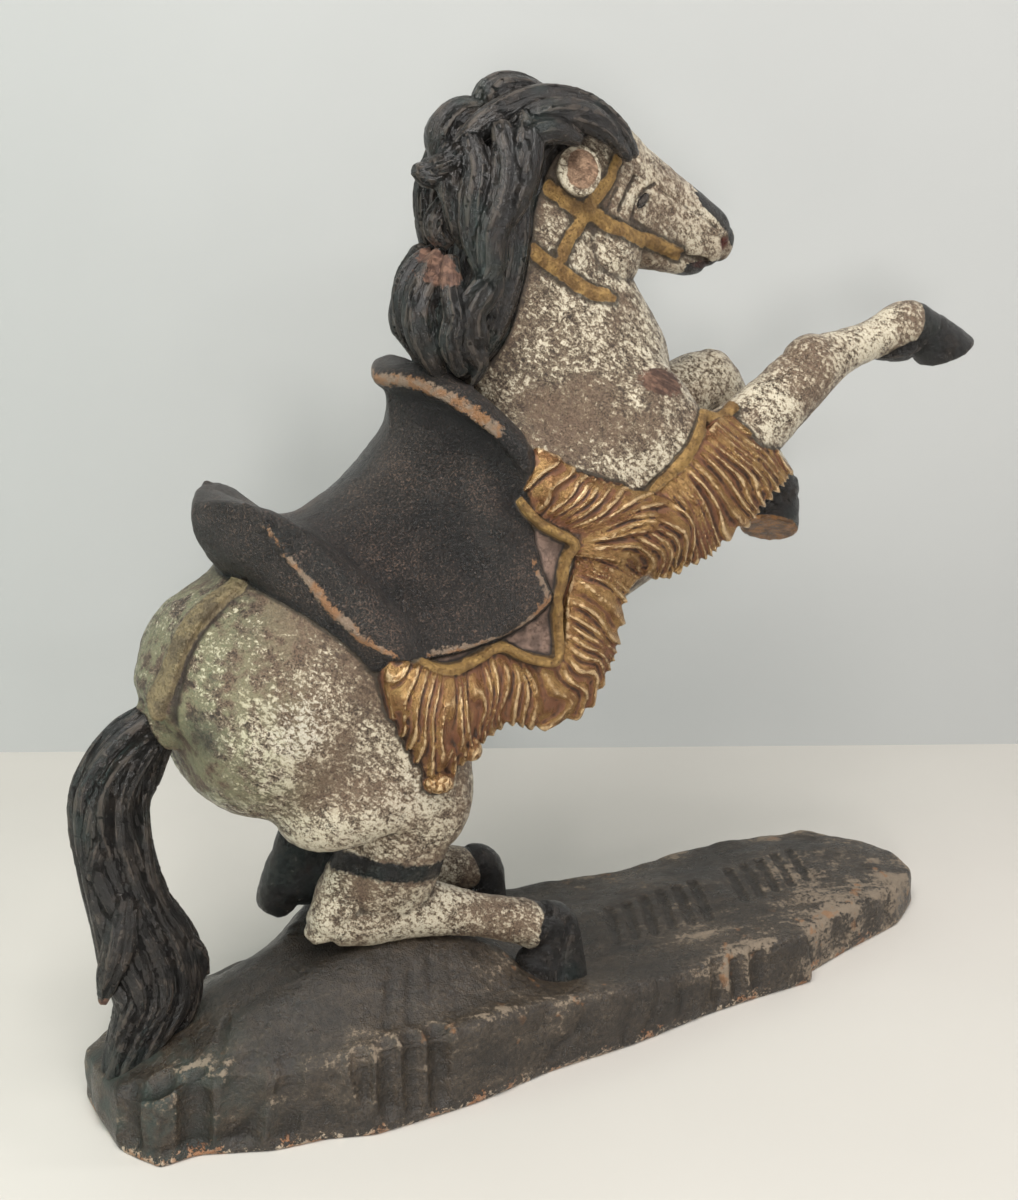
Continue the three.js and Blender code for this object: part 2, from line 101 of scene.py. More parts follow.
def limbRings(rows, sides=20, steps=24, across=(0, 1, 0), power=2.0, ribs=0, ribDepth=0.0, turn=0.0,
              roundEnds=True):
    rows = np.array(rows, float)
    rings = []
    marks = [k / steps for k in range(steps + 1)]
    ends = [(0.0, -0.75, 0.55), (0.0, -0.45, 0.85)] + [(t, 0, 1) for t in marks]
    ends += [(1.0, 0.45, 0.85), (1.0, 0.75, 0.55)]
    if not roundEnds:
        ends = [(t, 0, 1) for t in marks]
    for t, push, shrink in ends:
        row = smoothRow(rows, t)
        ahead, behind = smoothRow(rows, min(1, t + 0.02)), smoothRow(rows, max(0, t - 0.02))
        along = Vector(ahead[:3] - behind[:3]).normalized()
        wide = Vector(across) - along * along.dot(Vector(across))
        wide.normalize()
        deep = along.cross(wide)
        centre = Vector(row[:3]) + along * push * min(row[3], row[4])
        ring = []
        for i in range(sides):
            angle = 2 * math.pi * i / sides
            c, s = math.cos(angle), math.sin(angle)
            ripple = 1 + ribDepth * math.cos(ribs * angle + turn * t)
            u = row[3] * shrink * ripple * math.copysign(abs(c) ** (2 / power), c)
            v = row[4] * shrink * ripple * math.copysign(abs(s) ** (2 / power), s)
            ring.append(centre + wide * u + deep * v)
        rings.append(ring)
    return rings


def addLimb(clay, rows, side=far, strand=None, **how):
    rows = [(r[0], r[1] * side) + tuple(r[2:]) for r in rows]
    addRings(clay, limbRings(rows, **how), strand)


def addBall(clay, centre, radii, turn=0.0, lean=0.0):
    place = Matrix.Translation(centre) @ Matrix.Rotation(turn, 4, "Y") @ Matrix.Rotation(lean, 4, "X")
    ball = bmesh.ops.create_uvsphere(clay, u_segments=24, v_segments=14, radius=1.0,
                                     matrix=place @ Matrix.Diagonal((*radii, 1)))
    grain = clay.verts.layers.float_vector["grain"]
    for vert in ball["verts"]:
        vert[grain] = vert.co


def facesOf(clays):  # points and faces of several clay bodies in one list
    points, faces = [], []
    for clay in clays:
        clay.verts.index_update()
        start = len(points)
        points += [v.co.copy() for v in clay.verts]
        faces += [[start + v.index for v in f.verts] for f in clay.faces]
    return points, faces


def skinOf(*clays):  # search tree over the given clay bodies
    return BVHTree.FromPolygons(*facesOf(clays))


def sidePoint(skin, x, z, side):  # place on the flank, seen square from the side
    hit = skin.ray_cast(Vector((x, side * 200, z)), Vector((0, -side, 0)))
    if hit[0] is None:
        hit = skin.find_nearest(Vector((x, side * 60, z)))
    return hit[0]


def addRibbon(clay, skin, path, width, rise, steps=40, sink=2.5):  # flat strap that hugs the skin
    rows = np.array([tuple(p) for p in path], float)
    half = width * 0.5
    spots, outs = [], []
    for k in range(steps + 1):
        place = Vector(smoothRow(rows, k / steps))
        spot, normal, _, _ = skin.find_nearest(place)
        out = (place - spot).normalized() if (place - spot).length > 0.5 else normal
        if out.dot(normal) < 0:
            out = -out
        spots.append(spot)
        outs.append((out + normal).normalized())
    for _ in range(3):  # even out the facets of the skin
        inner = [(a + b * 2 + c) / 4 for a, b, c in zip(spots, spots[1:], spots[2:])]
        spots = [spots[0]] + inner + [spots[-1]]
        inner = [(a + b + c).normalized() for a, b, c in zip(outs, outs[1:], outs[2:])]
        outs = [outs[0]] + inner + [outs[-1]]
    rings = []
    for k, (spot, out) in enumerate(zip(spots, outs)):
        along = spots[min(steps, k + 1)] - spots[max(0, k - 1)]
        wide = along.cross(out).normalized()
        rings.append([spot + wide * half * u + out * v for u, v in
                      ((-1, -sink), (-1, 0.6 * rise), (-0.8, 0.95 * rise), (0, rise * 1.05),
                       (0.8, 0.95 * rise), (1, 0.6 * rise), (1, -sink), (0, -sink * 1.2))])
    addRings(clay, rings)


def reworked(mesh, kind, values):  # a new mesh with one modifier worked in
    helper = bpy.data.objects.new("helper", mesh)
    bpy.context.scene.collection.objects.link(helper)
    modifier = helper.modifiers.new(kind, kind)
    for key, value in values.items():
        setattr(modifier, key, value)
    depsgraph = bpy.context.evaluated_depsgraph_get()
    depsgraph.update()
    made = bpy.data.meshes.new_from_object(helper.evaluated_get(depsgraph))
    bpy.data.objects.remove(helper)
    bpy.data.meshes.remove(mesh)
    return made


def remeshed(name, clays, voxel):  # the clay bodies joined to one even skin
    whole = bmesh.new()
    for clay in clays:
        mesh = bpy.data.meshes.new("part")
        clay.to_mesh(mesh)
        whole.from_mesh(mesh)
        bpy.data.meshes.remove(mesh)
    bmesh.ops.scale(whole, vec=(mm, mm, mm), verts=whole.verts)
    mesh = bpy.data.meshes.new(name)
    whole.to_mesh(mesh)
    return reworked(mesh, "REMESH", {"mode": "VOXEL", "voxel_size": voxel * mm})


def thinned(mesh, count):  # no more than the given number of triangles
    triangles = sum(len(p.vertices) - 2 for p in mesh.polygons)
    share = min(1.0, count / triangles)
    return reworked(mesh, "DECIMATE", {"ratio": share, "use_collapse_triangulate": True})


def pointsOf(mesh):
    co = np.empty(len(mesh.vertices) * 3)
    mesh.vertices.foreach_get("co", co)
    return co.reshape(-1, 3)


def normalsOf(mesh):
    no = np.empty(len(mesh.vertices) * 3, np.float32)
    mesh.vertex_normals.foreach_get("vector", no)
    return no.reshape(-1, 3).astype(float)


def edgesOf(mesh):
    edges = np.empty(len(mesh.edges) * 2, np.int32)
    mesh.edges.foreach_get("vertices", edges)
    return edges.reshape(-1, 2)


def relaxed(values, edges, rounds, strength=0.5):  # average with the neighbours
    count = len(values)
    links = np.bincount(edges.ravel(), minlength=count).astype(float)
    links[links == 0] = 1
    values = values.copy()
    flat = values.ndim == 1
    if flat:
        values = values[:, None]
    for _ in range(rounds):
        total = np.empty_like(values)
        for k in range(values.shape[1]):
            column = values[:, k]
            total[:, k] = (np.bincount(edges[:, 0], column[edges[:, 1]], count)
                           + np.bincount(edges[:, 1], column[edges[:, 0]], count))
        values += strength * (total / links[:, None] - values)
    return values[:, 0] if flat else values


def reliefOf(points, edges, normals, rounds, strength=0.5):  # how far each point stands out, by the average
    return np.einsum("ij,ij->i", points - relaxed(points, edges, rounds, strength), normals)


def putPoints(mesh, points):
    mesh.vertices.foreach_set("co", points.astype(np.float32).ravel())
    mesh.update()


def lineDistance(points, path):  # distance from each point to a polyline
    path = np.array(path, float)
    best = np.full(len(points), 1e9)
    for a, b in zip(path[:-1], path[1:]):
        ab = b - a
        t = np.clip(((points - a) @ ab) / (ab @ ab), 0, 1)
        best = np.minimum(best, np.linalg.norm(points - (a + t[:, None] * ab), axis=1))
    return best


def cloudAt(points, scale, octaves, rough, seed):  # layered noise around 0.5, like the noise texture
    total, whole = np.zeros(len(points)), 0.0
    for k in range(octaves):
        total += rough ** k * noiseAt(points, scale * 2 ** k, seed + k)
        whole += rough ** k
    return 0.5 + 0.5 * total / whole


def noiseAt(points, scale, seed=0.0):
    moved = points * scale + np.array((17.3, 5.1, 9.7)) * seed
    return np.array([noise.noise(p) for p in moved.tolist()])


def putAttribute(mesh, name, values):
    layer = mesh.attributes.new(name, "FLOAT", "POINT")
    layer.data.foreach_set("value", np.asarray(values, np.float32))


# the horse's body

horse = {
    "voxel": 1.0,           # fineness of the carving, mm
    "triangles": 192000,
    "torso": [(-207, 0, 203, 15, 14), (-204, 0, 204, 38, 34), (-188, 0, 206, 54, 52),
              (-155, 0, 209, 63, 62), (-115, 0, 222, 61, 62), (-75, 0, 245, 58, 60),
              (-35, 0, 267, 58, 62), (5, 0, 284, 58, 67), (38, 0, 296, 54, 64),
              (62, 0, 305, 42, 46), (75, 0, 310, 20, 22)],
    "neck": [(14, 0, 312, 50, 58), (9, 0, 345, 44, 59), (2, 0, 368, 37, 52), (-7, 0, 392, 31, 42),
             (-8, 0, 415, 28, 36), (-4, 0, 437, 25, 31), (4, 0, 456, 20, 22)],
    "head": [(-14, 0, 448, 15, 16), (2, 0, 445, 22, 29), (16, 0, 439, 24, 34), (32, 0, 431, 24, 35),
             (50, 0, 425, 20, 29), (72, 0, 418, 16, 22), (92, 0, 410, 14, 17.5),
             (102, 0, 406, 12.5, 14.5), (106, 0, 404.5, 9.5, 10.5)],
    "thigh": [(-146, 26, 208, 20, 40), (-119, 33, 180, 30, 57), (-98, 36, 153, 26, 34),
              (-101, 34, 133, 20, 24.5), (-106, 31, 115, 18, 25), (-112, 28, 100, 14, 26)],
    "hindCannon": [(-146, 23, 84, 7, 5), (-138, 24, 89, 11, 14), (-116, 26, 92, 13, 20),
                   (-85, 29, 84, 11, 14.5), (-60, 32, 75, 10, 11.5), (-38, 35, 67, 11, 12),
                   (-27, 37, 62, 12, 12)],
    "hindHoof": [(-24, 38, 66, 10, 10), (-16, 39, 59, 12.5, 13), (-16, 40, 47, 14, 15.5),
                 (-17, 41, 36, 16, 18), (-18, 41, 24, 17.5, 20.5)],
    "hock": [(-141, 26, 93, 10, 9), (-135, 26, 99, 12, 13), (-127, 27, 108, 12.5, 17),
             (-116, 29, 117, 14, 23)],
    "farHock": [(-126, 26, 108, 11, 14), (-137, 26, 94, 10.5, 13), (-146, 26, 80, 9, 10)],
    "nearFore": [(40, 38, 285, 20, 34), (70, 38, 297, 18, 27), (95, 38, 308, 17, 21),
                 (120, 38, 325, 15, 18), (143, 38, 341, 14.5, 16), (162, 38, 348, 11, 12),
                 (182, 38, 353, 9.5, 10.5), (203, 38, 359, 11.5, 12.5), (216, 38, 358, 11, 12)],
    "farFore": [(40, 36, 285, 20, 34), (75, 36, 300, 17, 26), (105, 36, 316, 16, 20),
                (132, 36, 323, 15, 17), (150, 36, 306, 11, 12), (167, 36, 284, 9.5, 10.5),
                (181, 36, 263, 11.5, 12.5), (187, 36, 250, 11, 12)],
    "chest": [(30, 0, 352, 38, 40), (26, 0, 330, 47, 52), (30, 0, 305, 48, 56)],
    "lowerJaw": [(58, 0, 402, 10, 8), (72, 0, 397.5, 9.5, 6), (84, 0, 393.8, 9, 4.8), (92, 0, 393.2, 7, 3.6)],
    "earStump": [(7, 12, 439, 9, 10), (3, 22, 443, 9.5, 11), (0, 31, 446, 10.5, 12)],
    "earWood": [(1.5, 28, 445, 8, 9.3), (-0.2, 31.6, 446.3, 8, 9.3)],
    "nearFrog": [(214, 38, 355, 10, 10), (204, 38, 348, 9, 9), (188, 38, 344, 4, 3)],
    "farFrog": [(184, 35, 256, 10, 9), (175, 35, 247, 8, 8), (168, 35, 239, 3, 3)],
}


def hoofRings(coronet, sole, turns, halves, side, lean=0.0):  # from inside the leg down to the sole
    rings, sides = [], 28
    coronet, sole = mirrored((coronet, sole), side)
    for t, swell in ((-0.55, 0.72), (-0.25, 0.93), (-0.06, 1.0), (0.02, 0.95), (0.12, 1.0), (0.4, 1.0),
                     (0.75, 1.0), (0.96, 1.0), (1.0, 0.96), (1.0, 0.6), (0.96, 0.25)):
        f = min(max(t, 0), 1)
        middle = Vector([a + (b - a) * t for a, b in zip(coronet, sole)])
        pitch = turns[0] + (turns[1] - turns[0]) * f
        long = Vector((math.cos(pitch), 0, math.sin(pitch)))
        wide = Vector((0, math.cos(lean * f), math.sin(lean * f)))
        halfLong = (halves[0] + (halves[1] - halves[0]) * f) * swell
        rings.append([middle + wide * halfLong * 0.9 * math.sin(2 * math.pi * i / sides)
                      + long * halfLong * math.cos(2 * math.pi * i / sides) for i in range(sides)])
    return rings


def shapeBody(hide, bare):
    addLimb(hide, horse["torso"], sides=56, steps=60, power=2.15)
    addLimb(hide, horse["neck"], sides=44, steps=34, power=2.1)
    addLimb(hide, horse["head"], sides=36, steps=44, power=2.25)
    addLimb(hide, horse["lowerJaw"], sides=20, steps=14)
    addLimb(hide, horse["chest"], sides=32, steps=8)
    for side in (near, far):
        addBall(hide, (24, side * 8, 406), (25, 19, 26))  # cheek
        addBall(hide, (40, side * 11, 439), (15, 12, 8), 0.5)  # brow over the eye
        addBall(hide, (42, side * 18.5, 430), (6.5, 5.2, 4.6), -0.75)
        addLimb(hide, horse["hock"], side, sides=24, steps=16)
        addLimb(hide, horse["thigh"], side, sides=36, steps=30, power=2.2)
        addLimb(hide, horse["hindCannon"], side, sides=28, steps=30)
        addBall(hide, (34, side * 36, 318), (34, 24, 40), -0.5)  # shoulder
        addBall(hide, (-119, side * 30, 202), (50, 34, 46), 0.45)  # round of the thigh
        addLimb(hide, horse["earStump"], side, sides=24, steps=5, across=(1, 0, 0), roundEnds=False)
        addLimb(bare, horse["earWood"], side, sides=24, steps=2, across=(1, 0, 0), roundEnds=False)
    addLimb(hide, horse["nearFore"], near, sides=28, steps=40)
    addLimb(hide, horse["farFore"], far, sides=28, steps=40)
    addBall(hide, (141, near * 38, 343), (17, 14.5, 16), -0.4)  # near knee
    addBall(hide, (131, far * 36, 325), (15, 15, 17), 0.5)  # far knee
    addLimb(hide, horse["farHock"], far, sides=24, steps=12, power=2.9)


def shapeHooves(hoof):
    for side in (near, far):
        addLimb(hoof, horse["hindHoof"], side, sides=28, steps=16, power=2.1, roundEnds=False)
        addBall(hoof, (-25, side * 38, 62), (11.5, 12, 11))
        addBall(hoof, (-29, side * 41, 38), (9, 13, 13), -0.2)
    addRings(hoof, hoofRings((221, 38, 354), (238, 38, 342), (0.95, 0.41), (12.5, 17.5), near))
    addBall(hoof, (213, near * 38, 358), (8, 11.5, 12.5), -0.5)
    addRings(hoof, hoofRings((185, 35, 250), (179, 34, 231), (0.14, -0.4), (13.5, 20), far, -0.5))
    addLimb(hoof, horse["nearFrog"], near, sides=16, steps=10, ribs=7, ribDepth=0.1)
    addLimb(hoof, horse["farFrog"], far, sides=16, steps=10, ribs=7, ribDepth=0.1)


# mane, forelock and tail

hair = {
    "core": [(18, -2, 462, 14, 7), (0, -4, 466, 21, 13), (-20, -5, 457, 23, 18),
             (-31, -6, 433, 24, 18), (-35, -6, 406, 26, 17), (-44, -5, 378, 26, 16),
             (-52, -4, 358, 18, 10), (-58, -4, 348, 8, 4)],
    "locks": [  # x, y, z, radius along each lock of the near side
        [(-60, -20, 456, 4), (-44, -22, 468, 7), (-18, -20, 476, 8), (4, -24, 474, 7.5), (22, -28, 463, 6),
         (35, -26, 451, 2.5)],
        [(-42, -28, 456, 4), (-26, -29, 468, 7), (-6, -31, 471, 7), (12, -33, 464, 6), (29, -29, 450, 2.5)],
        [(-46, -30, 448, 4), (-34, -34, 460, 6), (-17, -35, 464, 6), (-4, -35, 460, 4)],
        [(-28, -30, 470, 5), (-32, -36, 458, 8), (-37, -38, 443, 8), (-43, -38, 430, 7), (-48, -36, 417, 3)],
        [(-42, -30, 466, 5), (-42, -36, 450, 8), (-46, -38, 434, 8), (-52, -38, 419, 8), (-53, -38, 404, 7),
         (-60, -37, 391, 3)],
        [(-54, -24, 460, 5), (-54, -31, 447, 8), (-58, -33, 434, 7.5), (-58, -33, 420, 7), (-54, -36, 406, 7),
         (-52, -38, 396, 6), (-60, -38, 384, 5), (-60, -38, 372, 6), (-58, -36, 358, 3)],
        [(-62, -18, 456, 5), (-66, -24, 444, 7), (-65, -26, 434, 6), (-63, -27, 425, 6), (-60, -26, 414, 3)],
        [(-52, -34, 404, 4), (-56, -38, 396, 7), (-64, -38, 386, 7), (-64, -38, 374, 7), (-58, -37, 362, 5),
         (-60, -35, 352, 2)],
        [(-66, -26, 408, 4), (-70, -33, 396, 6), (-70, -37, 384, 7), (-72, -36, 372, 7), (-66, -34, 358, 4)],
        [(-68, -18, 408, 5), (-78, -24, 398, 8), (-84, -27, 387, 8), (-83, -28, 376, 8), (-78, -28, 364, 6),
         (-72, -26, 354, 3)],
        [(-62, -8, 410, 5), (-74, -12, 403, 8), (-82, -14, 394, 8), (-82, -14, 382, 8), (-78, -14, 370, 7),
         (-74, -14, 358, 4)],
        [(-56, -14, 436, 5), (-63, -15, 429, 7), (-68, -16, 422, 7), (-64, -18, 415, 5)],
    ],
    "curls": [  # lobes that stand out of the outline
        [(-38, -6, 472, 6), (-32, -6, 480, 8), (-20, -6, 481, 8), (-8, -8, 478, 6)],
        [(-58, -4, 452, 6), (-58, -4, 462, 8), (-50, -4, 470, 8), (-38, -6, 472, 6)],
        [(-54, -20, 456, 6), (-64, -20, 449, 7), (-74, -20, 446, 6.5), (-79, -20, 447, 4)],
    ],
    "tail": [(-204, 0, 202, 8, 9), (-214, 0, 199, 9, 12), (-226, 0, 188, 10, 15), (-236, 0, 168, 11, 16),
             (-235, 0, 142, 11, 17), (-230, -1, 114, 12, 18), (-221, -2, 84, 12, 23),
             (-222, -3, 62, 11, 22), (-234, -5, 42, 9, 14), (-241, -5, 22, 7, 10)],
    "tailStrands": 10,
    "wisps": [  # tips that stand clear of the tail
        [(-234, -9, 124, 7), (-240, -12, 100, 8), (-246, -11, 84, 6), (-249, -9, 71, 2.5)],
        [(-236, -6, 168, 6), (-246, -8, 148, 5), (-250, -8, 136, 2)],
        [(-226, -9, 84, 6), (-236, -11, 64, 5), (-244, -10, 50, 2)],
        [(-216, -9, 96, 7), (-202, -9, 84, 5), (-197, -8, 70, 2)],
    ],
}


def shapeHair(mane):
    addLimb(mane, hair["core"], strand=1, sides=32, steps=30, ribs=11, ribDepth=0.04)
    for number, lock in enumerate(hair["locks"]):
        rows = [(x, y, z, r * 0.72, r) for x, y, z, r in lock]
        addLimb(mane, rows, strand=2 + number, sides=40, steps=len(lock) * 7, ribs=6 + number % 3,
                ribDepth=0.075, turn=1.8 * math.sin(number))
        if number in (0, 3, 4, 5, 8):
            plain = [(x + 9, -y * 0.82, z, r * 0.75, r) for x, y, z, r in lock]
            addLimb(mane, plain, strand=20 + number, sides=30, steps=len(lock) * 5, ribs=6, ribDepth=0.06)
    for number, curl in enumerate(hair["curls"]):
        addLimb(mane, [(x, y, z, r * 1.2, r) for x, y, z, r in curl], strand=30 + number, sides=36,
                steps=18, ribs=7, ribDepth=0.07, turn=2.0)


def shapeTail(mane):
    rows = np.array(hair["tail"], float)
    addLimb(mane, hair["tail"], strand=40, sides=48, steps=50, power=2.2, ribs=15, ribDepth=0.035, turn=1.0)
    count = hair["tailStrands"]
    for side in (near, far):
        for j in range(count):
            spread = -0.86 + 1.72 * j / (count - 1)
            strand = []
            for k in range(15):
                t = 0.05 + 0.92 * k / 14
                row = smoothRow(rows, t)
                ahead, behind = smoothRow(rows, min(1, t + 0.02)), smoothRow(rows, t - 0.02)
                along = Vector(ahead[:3] - behind[:3]).normalized()
                deep = along.cross(Vector((0, 1, 0)))
                sway = spread + 0.13 * math.sin(9 * t + 0.6 * j) + 0.08 * math.sin(17 * t + j * 1.9)
                place = Vector(row[:3]) + deep * row[4] * sway
                place.y += side * row[3] * 0.88 * math.sqrt(max(0.05, 1 - sway * sway))
                size = 1.2 + row[4] * 0.17 * (0.9 + 0.3 * math.sin(8 * t + 2.1 * j))
                strand.append((place.x, place.y, place.z, size * 0.8, size))
            addLimb(mane, strand, strand=41 + j, sides=14, steps=56, power=1.7)
    for number, wisp in enumerate(hair["wisps"]):
        addLimb(mane, [(x, y, z, r * 0.7, r) for x, y, z, r in wisp], strand=60 + number, sides=24, steps=24,
                ribs=5, ribDepth=0.1)


# saddle, blanket and gold work

tack = {
    "axis": Vector((0.77, 0, 0.64)), "up": Vector((-0.64, 0, 0.77)), "origin": Vector((-75, 0, 245)),
    "centre": -10,
    "fringePleats": 50,
    "fringeRise": 4.3,
    # place along the back at the ridge and at the flap edge, ridge height, half width, edge height,
    # and how far the arch swings forward half way down
    "saddle": [(-57, -52, 68, 57, 28, 0), (-61, -54, 82, 61, 26, 2), (-60, -52, 98, 65, 23, 6),
               (-55, -48, 110, 68, 20, 11), (-48, -44, 116, 70, 18, 15), (-41, -38, 110, 69, 15, 15),
               (-35, -32, 95, 67, 10, 11), (-28, -24, 81, 65, 4, 5), (-14, -12, 71, 64.5, -4, 0),
               (6, 6, 66, 64, -15, 0), (22, 21, 65, 64.3, -20.5, 0), (34, 35, 66, 64.5, -21.5, 0),
               (36, 38.5, 66.6, 64, -12, 0), (39, 42, 67.2, 63, -3, 0), (43, 50, 69.5, 60.5, 10, 2),
               (47, 57, 76, 59, 21, 5), (49.5, 62, 88, 62, 31, 8), (53, 64, 95, 65.5, 37, 9),
               (60, 68, 96, 65, 41, 8), (68, 71, 91, 61.5, 43, 8), (77, 76, 78, 57, 46, 4),
               (80, 80, 60, 50, 42, 0)],
    "blanket": [(-46, 300), (-40, 291), (-29, 283), (-18, 276), (-24, 268), (-26, 245), (-27, 217),
                (-38, 217), (-48, 221), (-62, 229), (-73, 226), (-87, 223), (-98, 225), (-114, 233),
                (-132, 240)],
    "strap": [(18, 62, 291), (27, 61, 293), (47, 60, 311), (66, 54, 328), (88, 42, 328)],
    "roots": [(88, 43, 326), (66, 55, 323), (56, 58, 315), (47, 60, 308), (40, 61, 302), (32, 61, 296),
              (24, 61, 291), (14, 62, 288), (-14, 60, 273), (-19, 60, 262), (-23, 60, 248),
              (-24, 60, 230), (-27, 59, 217), (-46, 59, 220), (-60, 60, 227), (-74, 62, 224),
              (-88, 63, 222), (-100, 64, 226), (-116, 66, 234)],
    "tips": [(122, 50, 292), (112, 57, 283), (95, 60, 277), (83, 61, 270), (69, 61, 262), (56, 61, 255),
             (44, 61, 252), (30, 61, 250), (20, 61, 252), (12, 61, 244), (8, 61, 226), (4, 60, 208),
             (-8, 59, 186), (-36, 59, 182), (-56, 60, 190), (-72, 62, 184), (-86, 63, 176),
             (-100, 64, 180), (-112, 66, 204)],
    # folds of the knotted sash, each from root to end
    "folds": [
        [(-48, 48, 298), (-44, 53, 305), (-40, 55, 314), (-36, 54, 322)],
        [(-44, 52, 293), (-38, 58, 302), (-31, 60, 310), (-25, 57, 317)],
        [(-38, 55, 288), (-28, 61, 298), (-20, 62, 305), (-13, 59, 309)],
        [(-32, 57, 284), (-20, 63, 293), (-8, 65, 300), (2, 60, 303)],
        [(-26, 59, 281), (-11, 65, 288), (4, 68, 295), (16, 63, 298)],
        [(-22, 60, 278), (-4, 66, 285), (13, 69, 290), (29, 64, 292)],
        [(-20, 61, 276), (0, 67, 280), (20, 70, 282), (38, 65, 277)],
        [(-20, 61, 274), (-2, 66, 276), (18, 69, 274), (35, 65, 263)],
        [(-20, 61, 272), (-5, 65, 272), (11, 66, 267), (27, 63, 256)],
        [(-21, 60, 269), (-8, 64, 267), (4, 64, 263), (15, 62, 257)],
    ],
    "knotEnd": [
        [(30, 62, 292), (41, 64, 284), (49, 63, 273), (52, 60, 260)],
        [(20, 65, 290), (33, 69, 281), (42, 67, 268), (46, 61, 252)],
        [(10, 66, 286), (24, 70, 277), (34, 68, 265), (38, 62, 248)],
        [(4, 65, 280), (16, 68, 271), (25, 66, 262), (29, 62, 250)],
        [(0, 63, 274), (9, 65, 267), (15, 64, 260), (17, 61, 254)],
    ],
    # loose tassel under the rear of the blanket
    "tuft": [
        [(-118, 64, 240), (-122, 66, 236), (-125, 66, 232), (-126, 64, 227)],
        [(-108, 65, 236), (-115, 69, 228), (-120, 69, 218), (-121, 66, 208)],
        [(-102, 66, 232), (-109, 70, 220), (-113, 70, 206), (-113, 66, 194)],
        [(-97, 66, 228), (-103, 70, 212), (-106, 70, 196), (-107, 66, 182)],
        [(-92, 65, 226), (-96, 70, 208), (-98, 70, 190), (-99, 65, 168)],
        [(-87, 64, 224), (-90, 69, 207), (-90, 69, 190), (-91, 65, 172)],
        [(-82, 63, 222), (-83, 67, 207), (-82, 68, 194), (-80, 65, 182)],
    ],
}


def saddlePoint(p, y, q):
    spot = tack["origin"] + tack["axis"] * p + tack["up"] * q
    return Vector((spot.x, y, spot.z))


def saddleArc(row, spans=40):
    ridgeP, edgeP, ridge, width, edge, swing = row
    rise = ridge - tack["centre"]
    reach = math.acos(max(-0.35, (edge - tack["centre"]) / rise))
    outer, inner = [], []
    for i in range(spans + 1):
        angle = reach * (2 * i / spans - 1)
        p = ridgeP + (edgeP - ridgeP) * abs(math.sin(angle))
        p += swing * math.sin(2 * min(abs(angle), math.pi / 2))
        y = width * math.sin(angle)
        q = tack["centre"] + rise * math.cos(angle)
        outer.append(saddlePoint(p, y, q))
        under = min(q - 8, tack["centre"] + min(rise - 12, 46) * math.cos(angle))
        inner.append(saddlePoint(max(-40, min(76, p)), y * 0.84, under))
    return outer, inner


def shapeSaddle(leather):
    rows = np.array(tack["saddle"], float)
    arcs = [saddleArc(smoothRow(rows, k / 120), 48) for k in range(121)]
    addRings(leather, [outer + inner[::-1] for outer, inner in arcs])


def shapeBlanket(cloth, skin):
    edge = np.array([(x, z, 0) for x, z in tack["blanket"]], float)
    for side in (near, far):
        rings = []
        for k in range(91):
            x, z, _ = smoothRow(edge, k / 90)
            outer, inner = [], []
            for j in range(7):
                f = 0.6 * j / 6
                spot = sidePoint(skin, x + (-75 - x) * f, z + (272 - z) * f, side)
                reach = max(abs(spot.y) + 2.6, np.interp(spot.z, (222, 262), (60, 50)))
                outer.append(Vector((spot.x, side * reach, spot.z)))
                inner.append(spot - Vector((0, side * 9, 0)))
            rings.append(outer + inner[::-1])
        addRings(cloth, rings)


def shapeTrim(gold, skin):
    for side in (near, far):
        edge = [sidePoint(skin, x + (-75 - x) * 0.05, z + (272 - z) * 0.05, side)
                for x, z in tack["blanket"][:-1]]
        addRibbon(gold, skin, edge, 4.4, 5.4, steps=130)
        addRibbon(gold, skin, mirrored(tack["strap"], side), 6.6, 3.4, steps=60)


def ridge(phase):  # one pleat over the next: a slow rise and a steep fall, from 0 to 1
    f = phase - math.floor(phase)
    return (f / 0.7) ** 0.9 if f < 0.7 else ((1 - f) / 0.3) ** 0.9


def pleatedSheet(clay, paths, pleats, rise, side, seed, jag=0.1, belly=2.5):
    across = 17
    table = np.array([[smoothRow(np.array(path, float), j / (across - 1)) for j in range(across)]
                      for path in paths])
    rings, grains = [], []
    for k in range(pleats * 8 + 1):
        t = k / (pleats * 8)
        line = smoothRow(table, t)
        uneven = 1.6 * noise.noise((t * pleats * 0.33, seed, 2.2))
        group = noise.noise((t * pleats * 0.2, seed, 7.1))
        ring, grainRing = [], []

        def phaseAt(f):
            sway = 0.55 * f * math.sin(5.0 * f + 5 * group)
            sway += 0.5 * noise.noise((t * pleats * 0.5, f * 2.4, seed))
            return pleats * t + uneven + sway

        reach = 1 + jag * (ridge(phaseAt(1.0)) - 0.6) + 0.12 * group
        for j, f in enumerate(np.linspace(0, 1, across)):
            cover = min(1, f / 0.22) * (1 - 0.55 * max(0, (f - 0.86) / 0.14))
            lift = belly * math.sin(math.pi * f ** 0.8) + rise * (ridge(phaseAt(f)) - 0.5) * cover
            place = line[0] + (line[j] - line[0]) * (1 + (reach - 1) * f)
            ring.append(Vector((place[0], side * (place[1] + lift), place[2])))
            grainRing.append((5.5 * phaseAt(f) + 40 * seed, side * 20, 3.2 * f))
        for f in (1.0, 0.8, 0.55, 0.3, 0.05):
            place = line[0] + (line[round(f * (across - 1))] - line[0]) * (1 + (reach - 1) * f)
            ring.append(Vector((place[0], side * (place[1] - 4 - 10 * (1 - f)), place[2])))
            grainRing.append((5.5 * phaseAt(f) + 40 * seed, side * 20, 3.2 * f))
        rings.append(ring)
        grains.append(grainRing)
    addRings(clay, rings, grains=grains)


